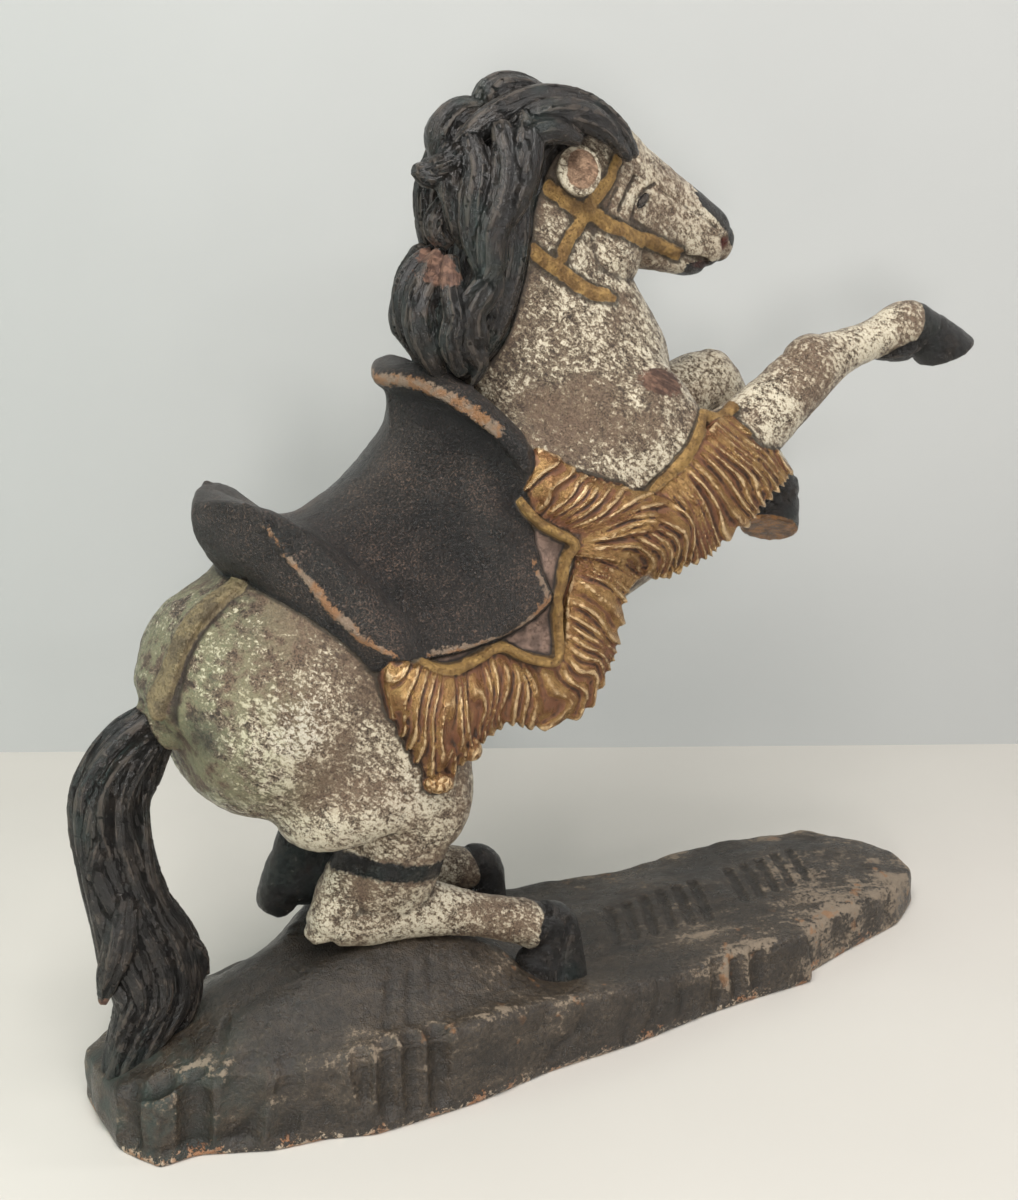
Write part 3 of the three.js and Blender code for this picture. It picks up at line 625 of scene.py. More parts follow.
def shapeFringe(gold, side):
    paths = []
    for root, tip in zip(np.array(tack["roots"], float), np.array(tack["tips"], float)):
        paths.append([root, root + (tip - root) * 0.5 + np.array((0, 1.5, 0)), tip])
    pleatedSheet(gold, paths, tack["fringePleats"], tack["fringeRise"], side, 1 + 0.37 * side)


def shapeSash(gold, side):
    addBall(gold, (4, side * 54, 284), (32, 11, 12), 0.3)  # body of the knot under the folds
    addBall(gold, (31, side * 55, 266), (9, 11, 14), 0.2)
    pleatedSheet(gold, tack["folds"], 15, 4.2, side, 3.3, 0.05, 1.5)
    pleatedSheet(gold, tack["knotEnd"], 6, 5.0, side, 5.1, 0.1, 2.5)
    pleatedSheet(gold, tack["tuft"], 8, 5.2, side, 7.7, 0.16, 2.5)
    addBall(gold, (-98, side * 66, 171), (8, 5, 5.5), 0.3)
    addBall(gold, (-80, side * 66, 184), (5, 4.5, 6), -0.3)


bridle = [
    [(27, 21, 450), (22, 23, 442), (14, 27, 433), (8, 28, 426), (3, 27, 420), (-4, 27, 414), (-10, 28, 404)],
    [(8, 28, 426), (26, 27, 418), (47, 23, 410), (62, 17, 404), (75, 12, 400)],
    [(-16, 28, 440), (-8, 27, 434), (0, 27, 429), (8, 28, 426)],
    [(-32, 32, 415), (-24, 28, 410), (-15, 28, 403), (-9, 30, 399), (0, 32, 393), (10, 32, 388),
     (21, 28, 385), (31, 18, 385), (36, 4, 386)],
]


def shapeBridle(gold, skin):
    for side in (near, far):
        for strap in bridle:
            addRibbon(gold, skin, mirrored(strap, side), 6.2, 1.5, steps=44)


def shapeCrupper(band, skin):
    middle = Vector((-150, 0, 205))
    path = [middle + (Vector(p) - middle) * 1.1 for p in
            ((-166, -12, 274), (-183, -15, 263), (-192, -17, 257), (-204, -20, 246), (-211, -20, 228),
             (-213, -14, 209))]
    addRibbon(band, skin, path, 12, 3.2, steps=60)


# the joined clay, its zones and the carving marks

zoneNames = ["hide", "bare", "hoof", "hair", "saddle", "blanket", "gold", "cord", "band"]


def zoneReader(zones):  # tells for a place which zone it lies in, and its hair direction
    points, faces = facesOf([zones[name] for name in zoneNames])
    tree = BVHTree.FromPolygons(points, faces)
    grains, owners = [], []
    for number, name in enumerate(zoneNames):
        layer = zones[name].verts.layers.float_vector["grain"]
        grains += [v[layer].copy() for v in zones[name].verts]
        owners += [number] * len(zones[name].faces)

    def read(places):
        owner = np.empty(len(places), int)
        grain = np.empty((len(places), 3))
        for k, place in enumerate(places.tolist()):
            hit, _, face, _ = tree.find_nearest(place)
            owner[k] = owners[face]
            corners = faces[face]
            if len(corners) > 6:  # an end cap
                grain[k] = grains[corners[0]]
                continue
            weights = poly_3d_calc([points[c] for c in corners], hit)
            grain[k] = sum((grains[c] * w for c, w in zip(corners, weights)), Vector())
        return owner, grain

    return read


def carveHorse(points, normals, edges, masks, grain):
    points = relaxed(points, edges, 2, 0.5)
    x, _, z = points.T
    calm = masks["hide"] ** 4 * np.clip((z - 130) / 25, 0, 1) * np.clip((88 - x) / 20, 0, 1)
    calm *= np.clip((392 - z) / 15, 0, 1)
    calm = relaxed(calm, edges, 4, 0.8)[:, None]
    points = points + calm * (relaxed(points, edges, 70, 0.9) - points)  # melt the joins of the body
    push = np.zeros(len(points))

    for path, half, depth, *sides in marks["grooves"]:
        for side in sides or (near, far):
            push -= depth * np.exp(-(lineDistance(points, mirrored(path, side)) / half) ** 2)
    soft = masks["hide"] + masks["bare"]
    hairy = np.clip(masks["hair"], 0, 1)
    gilt = np.clip(masks["gold"], 0, 1)
    strands = noiseAt(grain, 0.42, 4)
    fineStrands = noiseAt(grain, 0.8, 5)
    push += hairy * (0.3 - 0.95 * np.abs(strands) ** 0.8 + 0.3 * fineStrands)
    push += gilt * (0.1 - 0.45 * np.abs(strands) + 0.25 * fineStrands)
    for path, half, depth in marks["rims"]:
        for side in (1, -1):
            away = lineDistance(points, mirrored(path, side))
            push -= masks["saddle"] * depth * np.exp(-(away / half) ** 2)
    facet = noiseAt(points, 0.09, 2)
    lumps = noiseAt(points, 0.24, 3)
    push += soft * (0.5 * noiseAt(points, 0.035, 1) + 0.55 * np.abs(facet) + 0.3 * lumps)
    push += masks["hoof"] * 0.4 * lumps + masks["saddle"] * (0.25 * lumps + 0.35 * facet)
    return points + normals * push[:, None]


faceLines = {
    "eyeFold": [(37, 23, 441), (32, 24.5, 434), (28, 24, 426)],
    "backFold": [(26, 24, 436), (23, 24.5, 431), (20, 24, 425)],
    "upperLid": [(37, 23, 422), (38.5, 24, 430), (43, 23, 434), (52, 19.5, 437)],
    "lowerLid": [(38, 23, 423), (43.5, 23, 425), (48, 21.5, 431)],
    "noseBridge": [(55, 19, 434), (70, 17, 427), (85, 15, 420), (96, 13.5, 413)],
    "noseSide": [(36, 22, 421), (50, 20, 414), (63, 17, 408), (76, 14, 403)],
    "mouth": [(74, 13, 400.5), (84, 11, 397.6), (93, 8.5, 396.6), (99, 4, 396.6)],
}
crupperLine = [(-168, 18, 271), (-178, 20, 265), (-188, 23, 258), (-200, 26, 247), (-208, 28, 230),
               (-211, 24, 209)]

marks = {
    # edges of pommel and cantle on the near side and the hollows inside them: path, half width, depth
    "rims": [
        ([(-90, -4, 349), (-85, -10, 350), (-79, -24, 350), (-72, -33, 345), (-65, -42, 338), (-56, -48, 331),
          (-50, -53, 322), (-45, -56, 313), (-44, -57, 306), (-45, -58, 295)], 2.4, -1.8),
        ([(-95, -4, 341), (-86, -22, 340), (-79, -34, 335), (-71, -43, 329), (-63, -50, 321), (-56, -55, 312),
          (-52, -58, 302)], 7.0, 5.2),
        ([(-171, -24, 306), (-166, -34, 300), (-161, -40, 288), (-157, -47, 280), (-150, -52, 269),
          (-144, -55, 260), (-136, -60, 251), (-125, -66, 241), (-116, -68, 237)], 2.2, -1.8),
    ],
    # carved lines: path, half width, depth and, where it is on one side only, that side
    "grooves": [
        (faceLines["eyeFold"], 1.3, 2.3),
        (faceLines["backFold"], 1.0, 1.2),
        (faceLines["upperLid"], 1.1, 2.2),
        (faceLines["lowerLid"], 0.9, 1.6),
        (faceLines["noseBridge"], 1.5, 1.2),
        (faceLines["noseSide"], 1.5, 1.2),
        ([(100.5, 12, 407), (103, 11, 403.5)], 1.9, 2.8),  # nostril
        (faceLines["mouth"] + [(100, 0, 396.6)], 1.5, 3.6),
        ([(3, 64, 297), (12, 67, 292), (22, 67, 282), (33, 67, 271), (38, 66, 263)], 0.7, 1.8, near),
        (crupperLine, 1.6, 2.0, near),
        ([(66, 36, 356), (72, 34, 340), (74, 40, 326)], 3.0, 1.8),  # fold of the shoulder
        ([(-20, 40, 100), (-21, 45, 74), (-24, 40, 56)], 1.2, 1.0),  # edge of the hind fetlock
        ([(-12, 50, 66), (-17, 53, 56), (-21, 55, 46), (-22, 57, 30)], 1.7, 1.6),
        ([(-14, 52, 52), (-4, 50, 52), (4, 44, 52)], 1.3, 0.9),
    ],
    # rubbed edges of the saddle on the near side: path, half width
    "worn": [
        ([(-167, -32, 301), (-164, -37, 295), (-161, -40, 288), (-157, -47, 280), (-153, -50, 274)], 1.5),
        ([(-153, -50, 274), (-144, -55, 260), (-140, -58, 256), (-136, -60, 251), (-131, -63, 245)], 2.2),
        ([(-131, -63, 245), (-120, -68, 239)], 1.3),
        ([(-46, -62, 283), (-43, -64, 266), (-36, -64, 251), (-44, -64, 244), (-59, -64, 236),
          (-81, -64, 235), (-114, -64, 236)], 1.3),
    ],
    # dark lines along the carved grooves, dark paint that is partly painted shade of the slits and the mouth
    # gap: path, half width
    "grooveInkAndShade": [
        (faceLines["eyeFold"], 1.7), (faceLines["backFold"], 0.9), (faceLines["upperLid"], 1.3),
        (faceLines["lowerLid"], 1.0), (faceLines["noseBridge"], 0.9), (faceLines["noseSide"], 1.1),
        (faceLines["mouth"], 1.7),
    ],
}

# oval patches of paint: strength, middle, half sizes, turn
patches = {
    "wood": [
        (1.3, (37, near * 51, 346), (14, 15, 6.5), -0.12),
        (0.9, (-73, near * 26, 408), (5.5, 18, 9), 0.1),
        (0.9, (-73, near * 26, 401), (10, 18, 4), 0.0),
        (1.0, (-249, -9, 70), (4, 8, 4), 0.0),
        (1.0, (40, near * 20, 467), (4.5, 8, 3), -0.7),
    ],
    "stain": [
        (1.0, (-203, near * 41, 207), (15, 30, 24), 0.0),
        (0.45, (-130, near * 60, 232), (60, 40, 22), -0.5),
    ],
    # paler, cleaner paint; the patch at the rear of the rump is also a painted highlight where its gloss
    # catches the light
    "cleanAndHighlight": [
        (1.0, (-165, near * 60, 214), (26, 30, 34), 0.0),
        (0.62, (74, 0, 424), (70, 40, 40), 0.0),
        (0.5, (-95, near * 26, 88), (60, 30, 22), 0.0),
        (0.35, (165, near * 38, 350), (70, 30, 30), 0.3),
        (0.3, (140, far * 36, 330), (40, 30, 30), 0.0),
        (0.7, (-112, near * 50, 170), (50, 44, 36), 0.0),
    ],
    "black": [(3.0, (42.5, side * 24, 429.5), (5.0, 5, 2.7), 0.8) for side in (near, far)],
    "red": [(1.0, (102, side * 12, 405), (3.8, 5, 3.4), -0.6) for side in (near, far)],
}


def spot(points, centre, radii, turn):  # 1 in the middle of an oval patch, 0 at its rim
    d = points - np.array(centre)
    c, s = math.cos(turn), math.sin(turn)
    u, w = d[:, 0] * c + d[:, 2] * s, -d[:, 0] * s + d[:, 2] * c
    return 1 - np.sqrt((u / radii[0]) ** 2 + (d[:, 1] / radii[1]) ** 2 + (w / radii[2]) ** 2)


def paintHorse(mesh, points):  # painted areas as attributes: above 0.5 is inside
    x, y, z = points.T
    wobble = 2.5 * noiseAt(points, 0.16, 3)
    paint = {name: np.full(len(points), -1.0) for name in
             ("black", "red", "wood", "stain", "cleanAndHighlight", "grooveInkAndShade", "tan", "paintedGreenLight")}

    def add(name, value, where=True):
        paint[name] = np.maximum(paint[name], np.where(where, np.clip(value, -1, 1), -1))

    def addLine(name, path, half, where=True):
        add(name, 1 - lineDistance(points, path) / half, where)

    add("black", (x + 22 + 0.3 * (z - 60) + 0.5 * wobble) / 3, (z < 92) & (x > -60))  # hind hooves
    add("black", (x - 205 + 0.4 * (350 - z) + 0.6 * wobble) / 3, (y < 0) & (x > 170) & (z > 300))
    add("black", (262 - z + 0.6 * (x - 176) + wobble) / 4, (y > 0) & (x > 140) & (z < 300))
    band = 1 - np.abs(z - (122 - 0.25 * (x + 120)) + 0.6 * wobble) / 5.5
    add("black", band, (z < 150) & (z > 100) & (x > -165))
    add("black", (y + 12 + wobble) / 4, (z < 134) & (y > -14) & (x < -60) & (x > -165))
    muzzle = (x > 84) & (x < 112) & (z > 395)
    add("black", (z - 422 + 0.85 * (x - 84) - 0.35 * np.abs(y) + 0.6 * wobble) / 3, muzzle)
    add("black", (x - 79 + 0.3 * wobble) / 3, (x > 66) & (x < 112) & (z < 396) & (z > 384))
    for name, ovals in patches.items():
        for strength, middle, radii, turn in ovals:
            add(name, strength * spot(points, middle, radii, turn))
    for side in (near, far):
        addLine("red", [(80, side * 12, 396.2), (90, side * 9, 394.8), (96, side * 5, 394.6)], 2.0)
        for path, half in marks["grooveInkAndShade"]:
            addLine("grooveInkAndShade", mirrored(path, side), half)
        for path, half in marks["worn"]:
            addLine("tan", mirrored(path, side), half)
    addLine("grooveInkAndShade", mirrored(crupperLine, near), 2.6)
    lip = saddleArc(np.array((52.5, 63.2, 93.5, 65, 35.5, 8.7)))[0]  # front edge of the pommel
    addLine("tan", [tuple(p) for p in lip[4:37]], 2.9)
    addLine("tan", [(228, near * 38, 331), (252, near * 38, 344)], 4, x > 222)
    sole = (z - 231) * math.cos(0.5) * math.cos(0.4) + (y - 34) * math.sin(0.5) + (x - 179) * math.sin(0.4)
    add("tan", (1.5 - sole) / 2, (y > 10) & (x > 150) & (z < 262))
    # painted light: a greenish cast toward the rear of the horse, where the greenish side window falls
    add("paintedGreenLight", (-x - 150 + wobble) / 60, z > 150)
    for name, value in paint.items():
        putAttribute(mesh, name, 0.5 + 0.5 * value)
    putAttribute(mesh, "cloud", cloudAt(points, 0.024, 4, 0.62, 11))


def buildHorse():
    zones = {name: newClay() for name in zoneNames}
    shapeBody(zones["hide"], zones["bare"])
    hideSkin = skinOf(zones["hide"])
    shapeHooves(zones["hoof"])
    shapeHair(zones["hair"])
    shapeTail(zones["hair"])
    shapeSaddle(zones["saddle"])
    shapeBlanket(zones["blanket"], hideSkin)
    clothSkin = skinOf(zones["hide"], zones["blanket"])
    shapeTrim(zones["cord"], clothSkin)
    for side in (near, far):
        shapeFringe(zones["gold"], side)
        shapeSash(zones["gold"], side)
    shapeBridle(zones["cord"], hideSkin)
    shapeCrupper(zones["band"], hideSkin)
    print("horse clay shaped")
    mesh = remeshed("carvedHorse", zones.values(), horse["voxel"])
    print("horse joined:", len(mesh.vertices), "points")
    dense = pointsOf(mesh) / mm
    edges = edgesOf(mesh)
    owner, grain = zoneReader(zones)(dense)
    masks = relaxed(np.eye(len(zoneNames))[owner], edges, 3, 0.8)
    dense = carveHorse(dense, normalsOf(mesh), edges, dict(zip(zoneNames, masks.T)), grain)
    putPoints(mesh, dense * mm)
    print("horse carved")
    normals = normalsOf(mesh)
    fine = reliefOf(dense, edges, normals, 5)
    broad = reliefOf(dense, edges, normals, 36, 0.85)
    tree = KDTree(len(dense))
    for i, p in enumerate(dense.tolist()):
        tree.insert(p, i)
    tree.balance()
    mesh = thinned(mesh, horse["triangles"])
    points = pointsOf(mesh) / mm
    match = np.array([tree.find(p)[1] for p in points.tolist()])
    putAttribute(mesh, "relief", np.clip(0.5 + 1.4 * fine[match], 0, 1))
    putAttribute(mesh, "hollow", np.clip(0.5 + 0.4 * broad[match], 0, 1))
    soft = relaxed(masks, edges, 4, 0.8)[match]
    for number, name in enumerate(zoneNames[1:], 1):
        putAttribute(mesh, name, soft[:, number])
    _, grain = zoneReader(zones)(points)
    layer = mesh.attributes.new("grain", "FLOAT_VECTOR", "POINT")
    layer.data.foreach_set("vector", grain.astype(np.float32).ravel())
    paintHorse(mesh, points)
    print("horse ready:", len(mesh.polygons), "triangles")
    return mesh


# the rocky ground

ground = {
    "voxel": 1.15,
    "triangles": 190000,
    "crestY": -6,
    "nearLevel": 24,
    "outline": [(-252, 26), (-252, -26), (-240, -49), (-221, -50), (-189, -65), (-164, -70),
                (-142, -79), (-111, -81), (-86, -82), (-40, -78), (10, -80), (60, -77), (100, -78),
                (131, -80), (134, -73), (174, -64), (219, -56), (248, -38), (254, -10), (246, 10),
                (229, 27), (222, 41), (174, 53), (136, 60), (92, 62), (54, 70), (12, 78), (-40, 80),
                (-100, 76), (-160, 64), (-210, 46)],
    # x, near edge, crest, far edge, level width on the far side
    "height": [(-256, 24, 27, 24, 2), (-240, 38, 34, 27, 2), (-215, 40, 45, 28, 2),
               (-195, 38, 55, 30, 2), (-172, 38, 62, 30, 4), (-150, 45, 70, 30, 8),
               (-128, 47, 74, 30, 34), (-100, 45, 72, 28, 38), (-70, 44, 66, 26, 38),
               (-48, 41, 55, 25, 38), (-32, 38, 38, 23, 30), (-18, 37, 30, 22, 10), (0, 36, 27, 21, 4),
               (40, 32, 28, 20, 4), (80, 31, 29, 20, 4), (125, 31, 29, 21, 4), (138, 28, 28, 22, 4),
               (180, 27, 28, 23, 4), (220, 24, 26, 22, 4), (256, 18, 21, 18, 4)],
}


def groundHeight(x, y):
    table = np.array(ground["height"], float)
    edge, crest, farEdge, farLevel = (np.interp(x, table[:, 0], table[:, k]) for k in (1, 2, 3, 4))
    level = ground["nearLevel"] if y < ground["crestY"] else farLevel
    t = min(1, max(0, (abs(y - ground["crestY"]) - level) / (66 - level)))
    ease = t * t * (3 - 2 * t)
    return crest + ((edge if y < ground["crestY"] else farEdge) - crest) * ease


def shapeGround(clay):
    loop = ground["outline"]
    rim = []
    for i in range(len(loop)):
        a, b, c, d = (np.array(loop[(i + k) % len(loop)], float) for k in (-1, 0, 1, 2))
        for f in np.arange(0, 1, 0.125):  # nearly straight between corners, a little rounded
            m, n = (c - a) * 0.15, (d - b) * 0.15
            h = (2 * f ** 3 - 3 * f ** 2 + 1) * b + (f ** 3 - 2 * f ** 2 + f) * m
            rim.append(h + (-2 * f ** 3 + 3 * f ** 2) * c + (f ** 3 - f ** 2) * n)

    def ring(inset, height):
        made = []
        for px, py in rim:
            x = px * (1 - 0.07 * inset)
            y = py + (ground["crestY"] - py) * inset
            made.append(Vector((x, y, height(x, y))))
        return made

    rings = [ring(0.5, lambda x, y: 0), ring(0.012, lambda x, y: 0), ring(0, lambda x, y: 3)]
    rings.append(ring(0.015, lambda x, y: groundHeight(x, y) - 6))
    rings.append(ring(0.04, lambda x, y: groundHeight(x, y) - 1.5))
    rings += [ring(f, groundHeight) for f in np.linspace(0.08, 1.0, 26)]
    addRings(clay, rings)
    clay.faces.ensure_lookup_table()
    slit = [face for face in clay.faces if len(face.verts) > 100 and face.calc_center_median().z > 5]
    bmesh.ops.delete(clay, geom=slit, context="FACES_ONLY")  # the last ring closes on itself along the crest


def strokes():  # gouge strokes: start, end, radius, depth
    made = []
    for i in range(4):  # flutes in the near side
        made.append(((-149 + 13.5 * i, -85, 10), (-147 + 13.5 * i, -76, 47), 7.2, 4.4))
    for i in range(3):
        made.append(((67 + 13.5 * i, -82, 6), (67 + 13.5 * i, -78, 32), 7.2, 3.4))
    for i in range(6):  # combed strokes over the top
        made.append(((34 + 12 * i, -26 - 1.2 * i, 30), (52 + 12 * i, 8, 29), 3.6, 1.7))
    for i in range(5):
        made.append(((126 + 12 * i, -24, 29), (142 + 12 * i, 12, 28), 3.4, 1.5))
    for i in range(6):
        made.append(((-212 + 15 * i, -52, 40), (-196 + 15 * i, -26, 56), 3.8, 1.0))
        made.append(((-128 + 13 * i, -66, 50), (-114 + 11 * i, -44, 64), 3.4, 0.8))
    for i in range(3):  # broad scoops in the rear end
        made.append(((-250 + 13 * i, -34 - 9 * i, 6), (-246 + 13 * i, -30 - 8 * i, 40), 9.0, 4.6))
    made.append(((-206, -62, 8), (-196, -58, 42), 12, 4.2))
    made.append(((-186, -70, 6), (-180, -64, 42), 9, 3.0))
    return made


def carveGround(mesh):
    points = pointsOf(mesh) / mm
    normals = normalsOf(mesh)
    points = relaxed(points, edgesOf(mesh), 3, 0.6)
    z = points[:, 2]
    free = np.clip((z - 1.5) / 6, 0, 1)
    side = 1 - np.clip(normals[:, 2], 0, 1)
    push = 1.4 * noiseAt(points, 0.022, 5) + 0.7 * noiseAt(points, 0.06, 6) + 0.35 * noiseAt(points, 0.17, 9)
    facets = np.abs(noiseAt(points * np.array((1, 1, 0.6)), 0.05, 7))
    push += 3.4 * side * (facets - 0.25) + 0.9 * (1 - side) * facets
    for start, end, radius, depth in strokes():
        away = lineDistance(points, [start, end])
        push -= depth * np.clip(1 - (away / radius) ** 2, 0, 1) ** 0.8
    step = np.abs(points[:, 0] - 132 + 0.25 * (z - 15))
    push -= np.where((points[:, 1] < -66) & (z < 27), 1.2 * np.exp(-(step / 1.8) ** 2), 0)
    points += normals * (push * free)[:, None]
    points[:, 2] = np.maximum(points[:, 2], 0)
    putPoints(mesh, points * mm)


def buildGround():
    clay = newClay()
    shapeGround(clay)
    mesh = remeshed("rockyGround", [clay], ground["voxel"])
    carveGround(mesh)
    dense = pointsOf(mesh)
    edges = edgesOf(mesh)
    normals = normalsOf(mesh)
    fine = reliefOf(dense, edges, normals, 8) / mm
    broad = reliefOf(dense, edges, normals, 36, 0.85) / mm
    putAttribute(mesh, "relief", np.clip(0.5 + 1.3 * fine, 0, 1))
    putAttribute(mesh, "hollow", np.clip(0.5 + 0.4 * broad, 0, 1))
    mesh = thinned(mesh, ground["triangles"])
    putAttribute(mesh, "cloud", cloudAt(pointsOf(mesh) / mm, 0.013, 4, 0.55, 21))
    print("ground ready:", len(mesh.polygons), "triangles")
    return mesh


# finishes

class Finish:  # small helper to wire shader nodes
    def __init__(self, name):
        self.material = bpy.data.materials.new(name)
        self.material.use_nodes = True
        self.nodes = self.material.node_tree.nodes
        self.links = self.material.node_tree.links
        self.shader = self.nodes["Principled BSDF"]
        self.place = self.nodes.new("ShaderNodeTexCoord").outputs["Object"]

    def put(self, value, socket):
        if isinstance(value, bpy.types.NodeSocket):
            self.links.new(value, socket)
        elif isinstance(value, tuple):
            socket.default_value = (*value, 1) if len(value) == 3 and socket.type == "RGBA" else value
        else:
            socket.default_value = value

    def attribute(self, name, output="Fac"):
        node = self.nodes.new("ShaderNodeAttribute")
        node.attribute_name = name
        return node.outputs[output]

    def ramp(self, value, *stops):
        node = self.nodes.new("ShaderNodeValToRGB")
        node.color_ramp.elements.remove(node.color_ramp.elements[1])
        for k, (place, colour) in enumerate(stops):
            stop = node.color_ramp.elements[0] if k == 0 else node.color_ramp.elements.new(place)
            stop.position = place
            stop.color = (*colour, 1)
        self.put(value, node.inputs["Fac"])
        return node.outputs["Color"]

    def noise(self, scale, detail=4.0, rough=0.55, bend=0.0, stretch=None, place=None):
        node = self.nodes.new("ShaderNodeTexNoise")
        node.inputs["Scale"].default_value = scale
        node.inputs["Detail"].default_value = detail
        node.inputs["Roughness"].default_value = rough
        node.inputs["Distortion"].default_value = bend
        source = place or self.place
        if stretch:
            mapping = self.nodes.new("ShaderNodeMapping")
            mapping.vector_type = "TEXTURE"
            mapping.inputs["Rotation"].default_value = stretch[1]
            mapping.inputs["Scale"].default_value = stretch[0]
            self.links.new(source, mapping.inputs["Vector"])
            source = mapping.outputs["Vector"]
        self.links.new(source, node.inputs["Vector"])
        return node.outputs["Fac"]

    def math(self, kind, a, b):
        node = self.nodes.new("ShaderNodeMath")
        node.operation = kind
        self.put(a, node.inputs[0])
        self.put(b, node.inputs[1])
        return node.outputs[0]

    def part(self, factor, weight):
        return self.math("MULTIPLY", factor, weight)

    def add(self, *terms):  # sum of value * weight pairs
        total = None
        for value, weight in terms:
            share = self.part(value, weight) if weight != 1 else value
            total = share if total is None else self.math("ADD", total, share)
        return total

    def step(self, value, low, high):
        node = self.nodes.new("ShaderNodeMapRange")
        node.interpolation_type = "SMOOTHSTEP"
        self.put(value, node.inputs["Value"])
        node.inputs["From Min"].default_value = low
        node.inputs["From Max"].default_value = high
        return node.outputs["Result"]

    def mix(self, factor, a, b):
        node = self.nodes.new("ShaderNodeMix")
        colour = isinstance(a, tuple) or isinstance(b, tuple)
        colour = colour or (isinstance(a, bpy.types.NodeSocket) and a.type == "RGBA")
        node.data_type = "RGBA" if colour else "FLOAT"
        sockets = [s for s in node.inputs if s.enabled]
        self.put(factor, sockets[0])
        self.put(a, sockets[1])
        self.put(b, sockets[2])
        return next(s for s in node.outputs if s.enabled)

    def zone(self, name, soft=0.12, frayed=0.3):  # a painted area with a ragged edge
        value = self.add((self.attribute(name), 1), (self.ragged, frayed))
        return self.step(value, 0.5 + frayed * 0.5 - soft, 0.5 + frayed * 0.5 + soft)

    def finish(self, colour, roughness, metal, bumps, depth):
        self.put(colour, self.shader.inputs["Base Color"])
        self.put(roughness, self.shader.inputs["Roughness"])
        if metal is not None:
            self.put(metal, self.shader.inputs["Metallic"])
        bump = self.nodes.new("ShaderNodeBump")
        bump.inputs["Strength"].default_value = 1.0
        bump.inputs["Distance"].default_value = depth
        self.links.new(bumps, bump.inputs["Height"])
        self.links.new(bump.outputs["Normal"], self.shader.inputs["Normal"])
        return self.material


def hidePaint(f):  # cream gesso flaking from a brown ground, with painted shade in the hollows, a painted highlight on the rump and the side window's greenish light painted toward the rear
    cleanAndHighlight, stain = f.attribute("cleanAndHighlight"), f.attribute("stain")
    # the hollow term makes the hide darker in recesses and paler on ridges, as painted shade
    wear = f.add((f.speck, 0.60), (f.brush, 0.44), (f.patch, 0.16), (f.cloud, 0.36), (cleanAndHighlight, -0.14),
                 (stain, 0.06), (f.hollow, -0.10))
    hide = f.ramp(wear, (0.60, (0.62, 0.555, 0.42)), (0.65, (0.41, 0.335, 0.237)),
                  (0.695, (0.225, 0.168, 0.112)), (0.73, (0.115, 0.080, 0.053)),
                  (0.775, (0.04, 0.028, 0.020)))
    chips = f.step(f.add((f.patch, 0.5), (f.ragged, 0.25), (f.cloud, 0.6), (cleanAndHighlight, -0.07)), 0.77, 0.785)
    hide = f.mix(f.part(chips, 0.65), hide, (0.11, 0.073, 0.05))
    tint = f.step(f.cloud, 0.42, 0.6)
    hide = f.mix(f.part(tint, 0.3), hide, (0.29, 0.185, 0.115))
    # pale cream on the clean patches, at the rump a painted highlight
    pale = f.part(f.step(cleanAndHighlight, 0.6, 0.95), f.part(f.step(wear, 0.67, 0.58), 0.45))
    hide = f.mix(pale, hide, (0.72, 0.69, 0.61))
    # painted light: the side window's greenish cast toward the rear
    paintedGreenLight = f.part(f.step(f.attribute("paintedGreenLight"), 0.45, 0.9), f.step(f.patch, 0.62, 0.42))
    hide = f.mix(f.part(paintedGreenLight, 0.4), hide, (0.31, 0.34, 0.19))
    pits = f.step(f.add((f.crumb, 0.65), (f.patch, 0.35)), 0.56, 0.63)
    hide = f.mix(f.part(pits, 0.75), hide, (0.04, 0.029, 0.021))
    # painted shade: darker in the broad hollows of the hide
    hide = f.mix(f.part(f.step(f.hollow, 0.43, 0.22), 0.75), hide, (0.045, 0.034, 0.025))
    hide = f.mix(f.part(f.step(stain, 0.62, 1.0), 0.72), hide, (0.05, 0.052, 0.034))
    gold = f.attribute("gold")
    seam = f.math("MAXIMUM", gold, f.math("MAXIMUM", f.attribute("cord"), f.attribute("saddle")))
    hide = f.mix(f.part(f.step(seam, 0.03, 0.3), 0.85), hide, (0.04, 0.029, 0.017))
    return hide, wear, chips, pits


def satinPaint(f):  # black paint of hair, hooves and bands, rubbed grey-brown on the ridges, with painted shade along the fine hair grooves
    satin = f.mix(f.step(f.patch, 0.4, 0.66), (0.009, 0.008, 0.0075), (0.025, 0.020, 0.0165))
    rubbed = f.step(f.add((f.relief, 0.8), (f.strand, 0.2), (f.patch, 0.4), (f.cloud, 0.35)), 0.98, 1.2)
    satin = f.mix(f.part(rubbed, 0.55), satin, (0.085, 0.066, 0.05))
    # painted shade: near black where the strand pattern is low, the grooves of the hair's bump
    satin = f.mix(f.part(f.step(f.strand, 0.5, 0.34), 0.7), satin, (0.003, 0.003, 0.003))
    satin = f.mix(f.part(f.step(f.cloud, 0.52, 0.62), 0.25), satin, (0.014, 0.034, 0.030))
    area = f.math("MAXIMUM", f.zone("hair"), f.math("MAXIMUM", f.zone("hoof"), f.zone("black", 0.1, 0.4)))
    return satin, rubbed, area


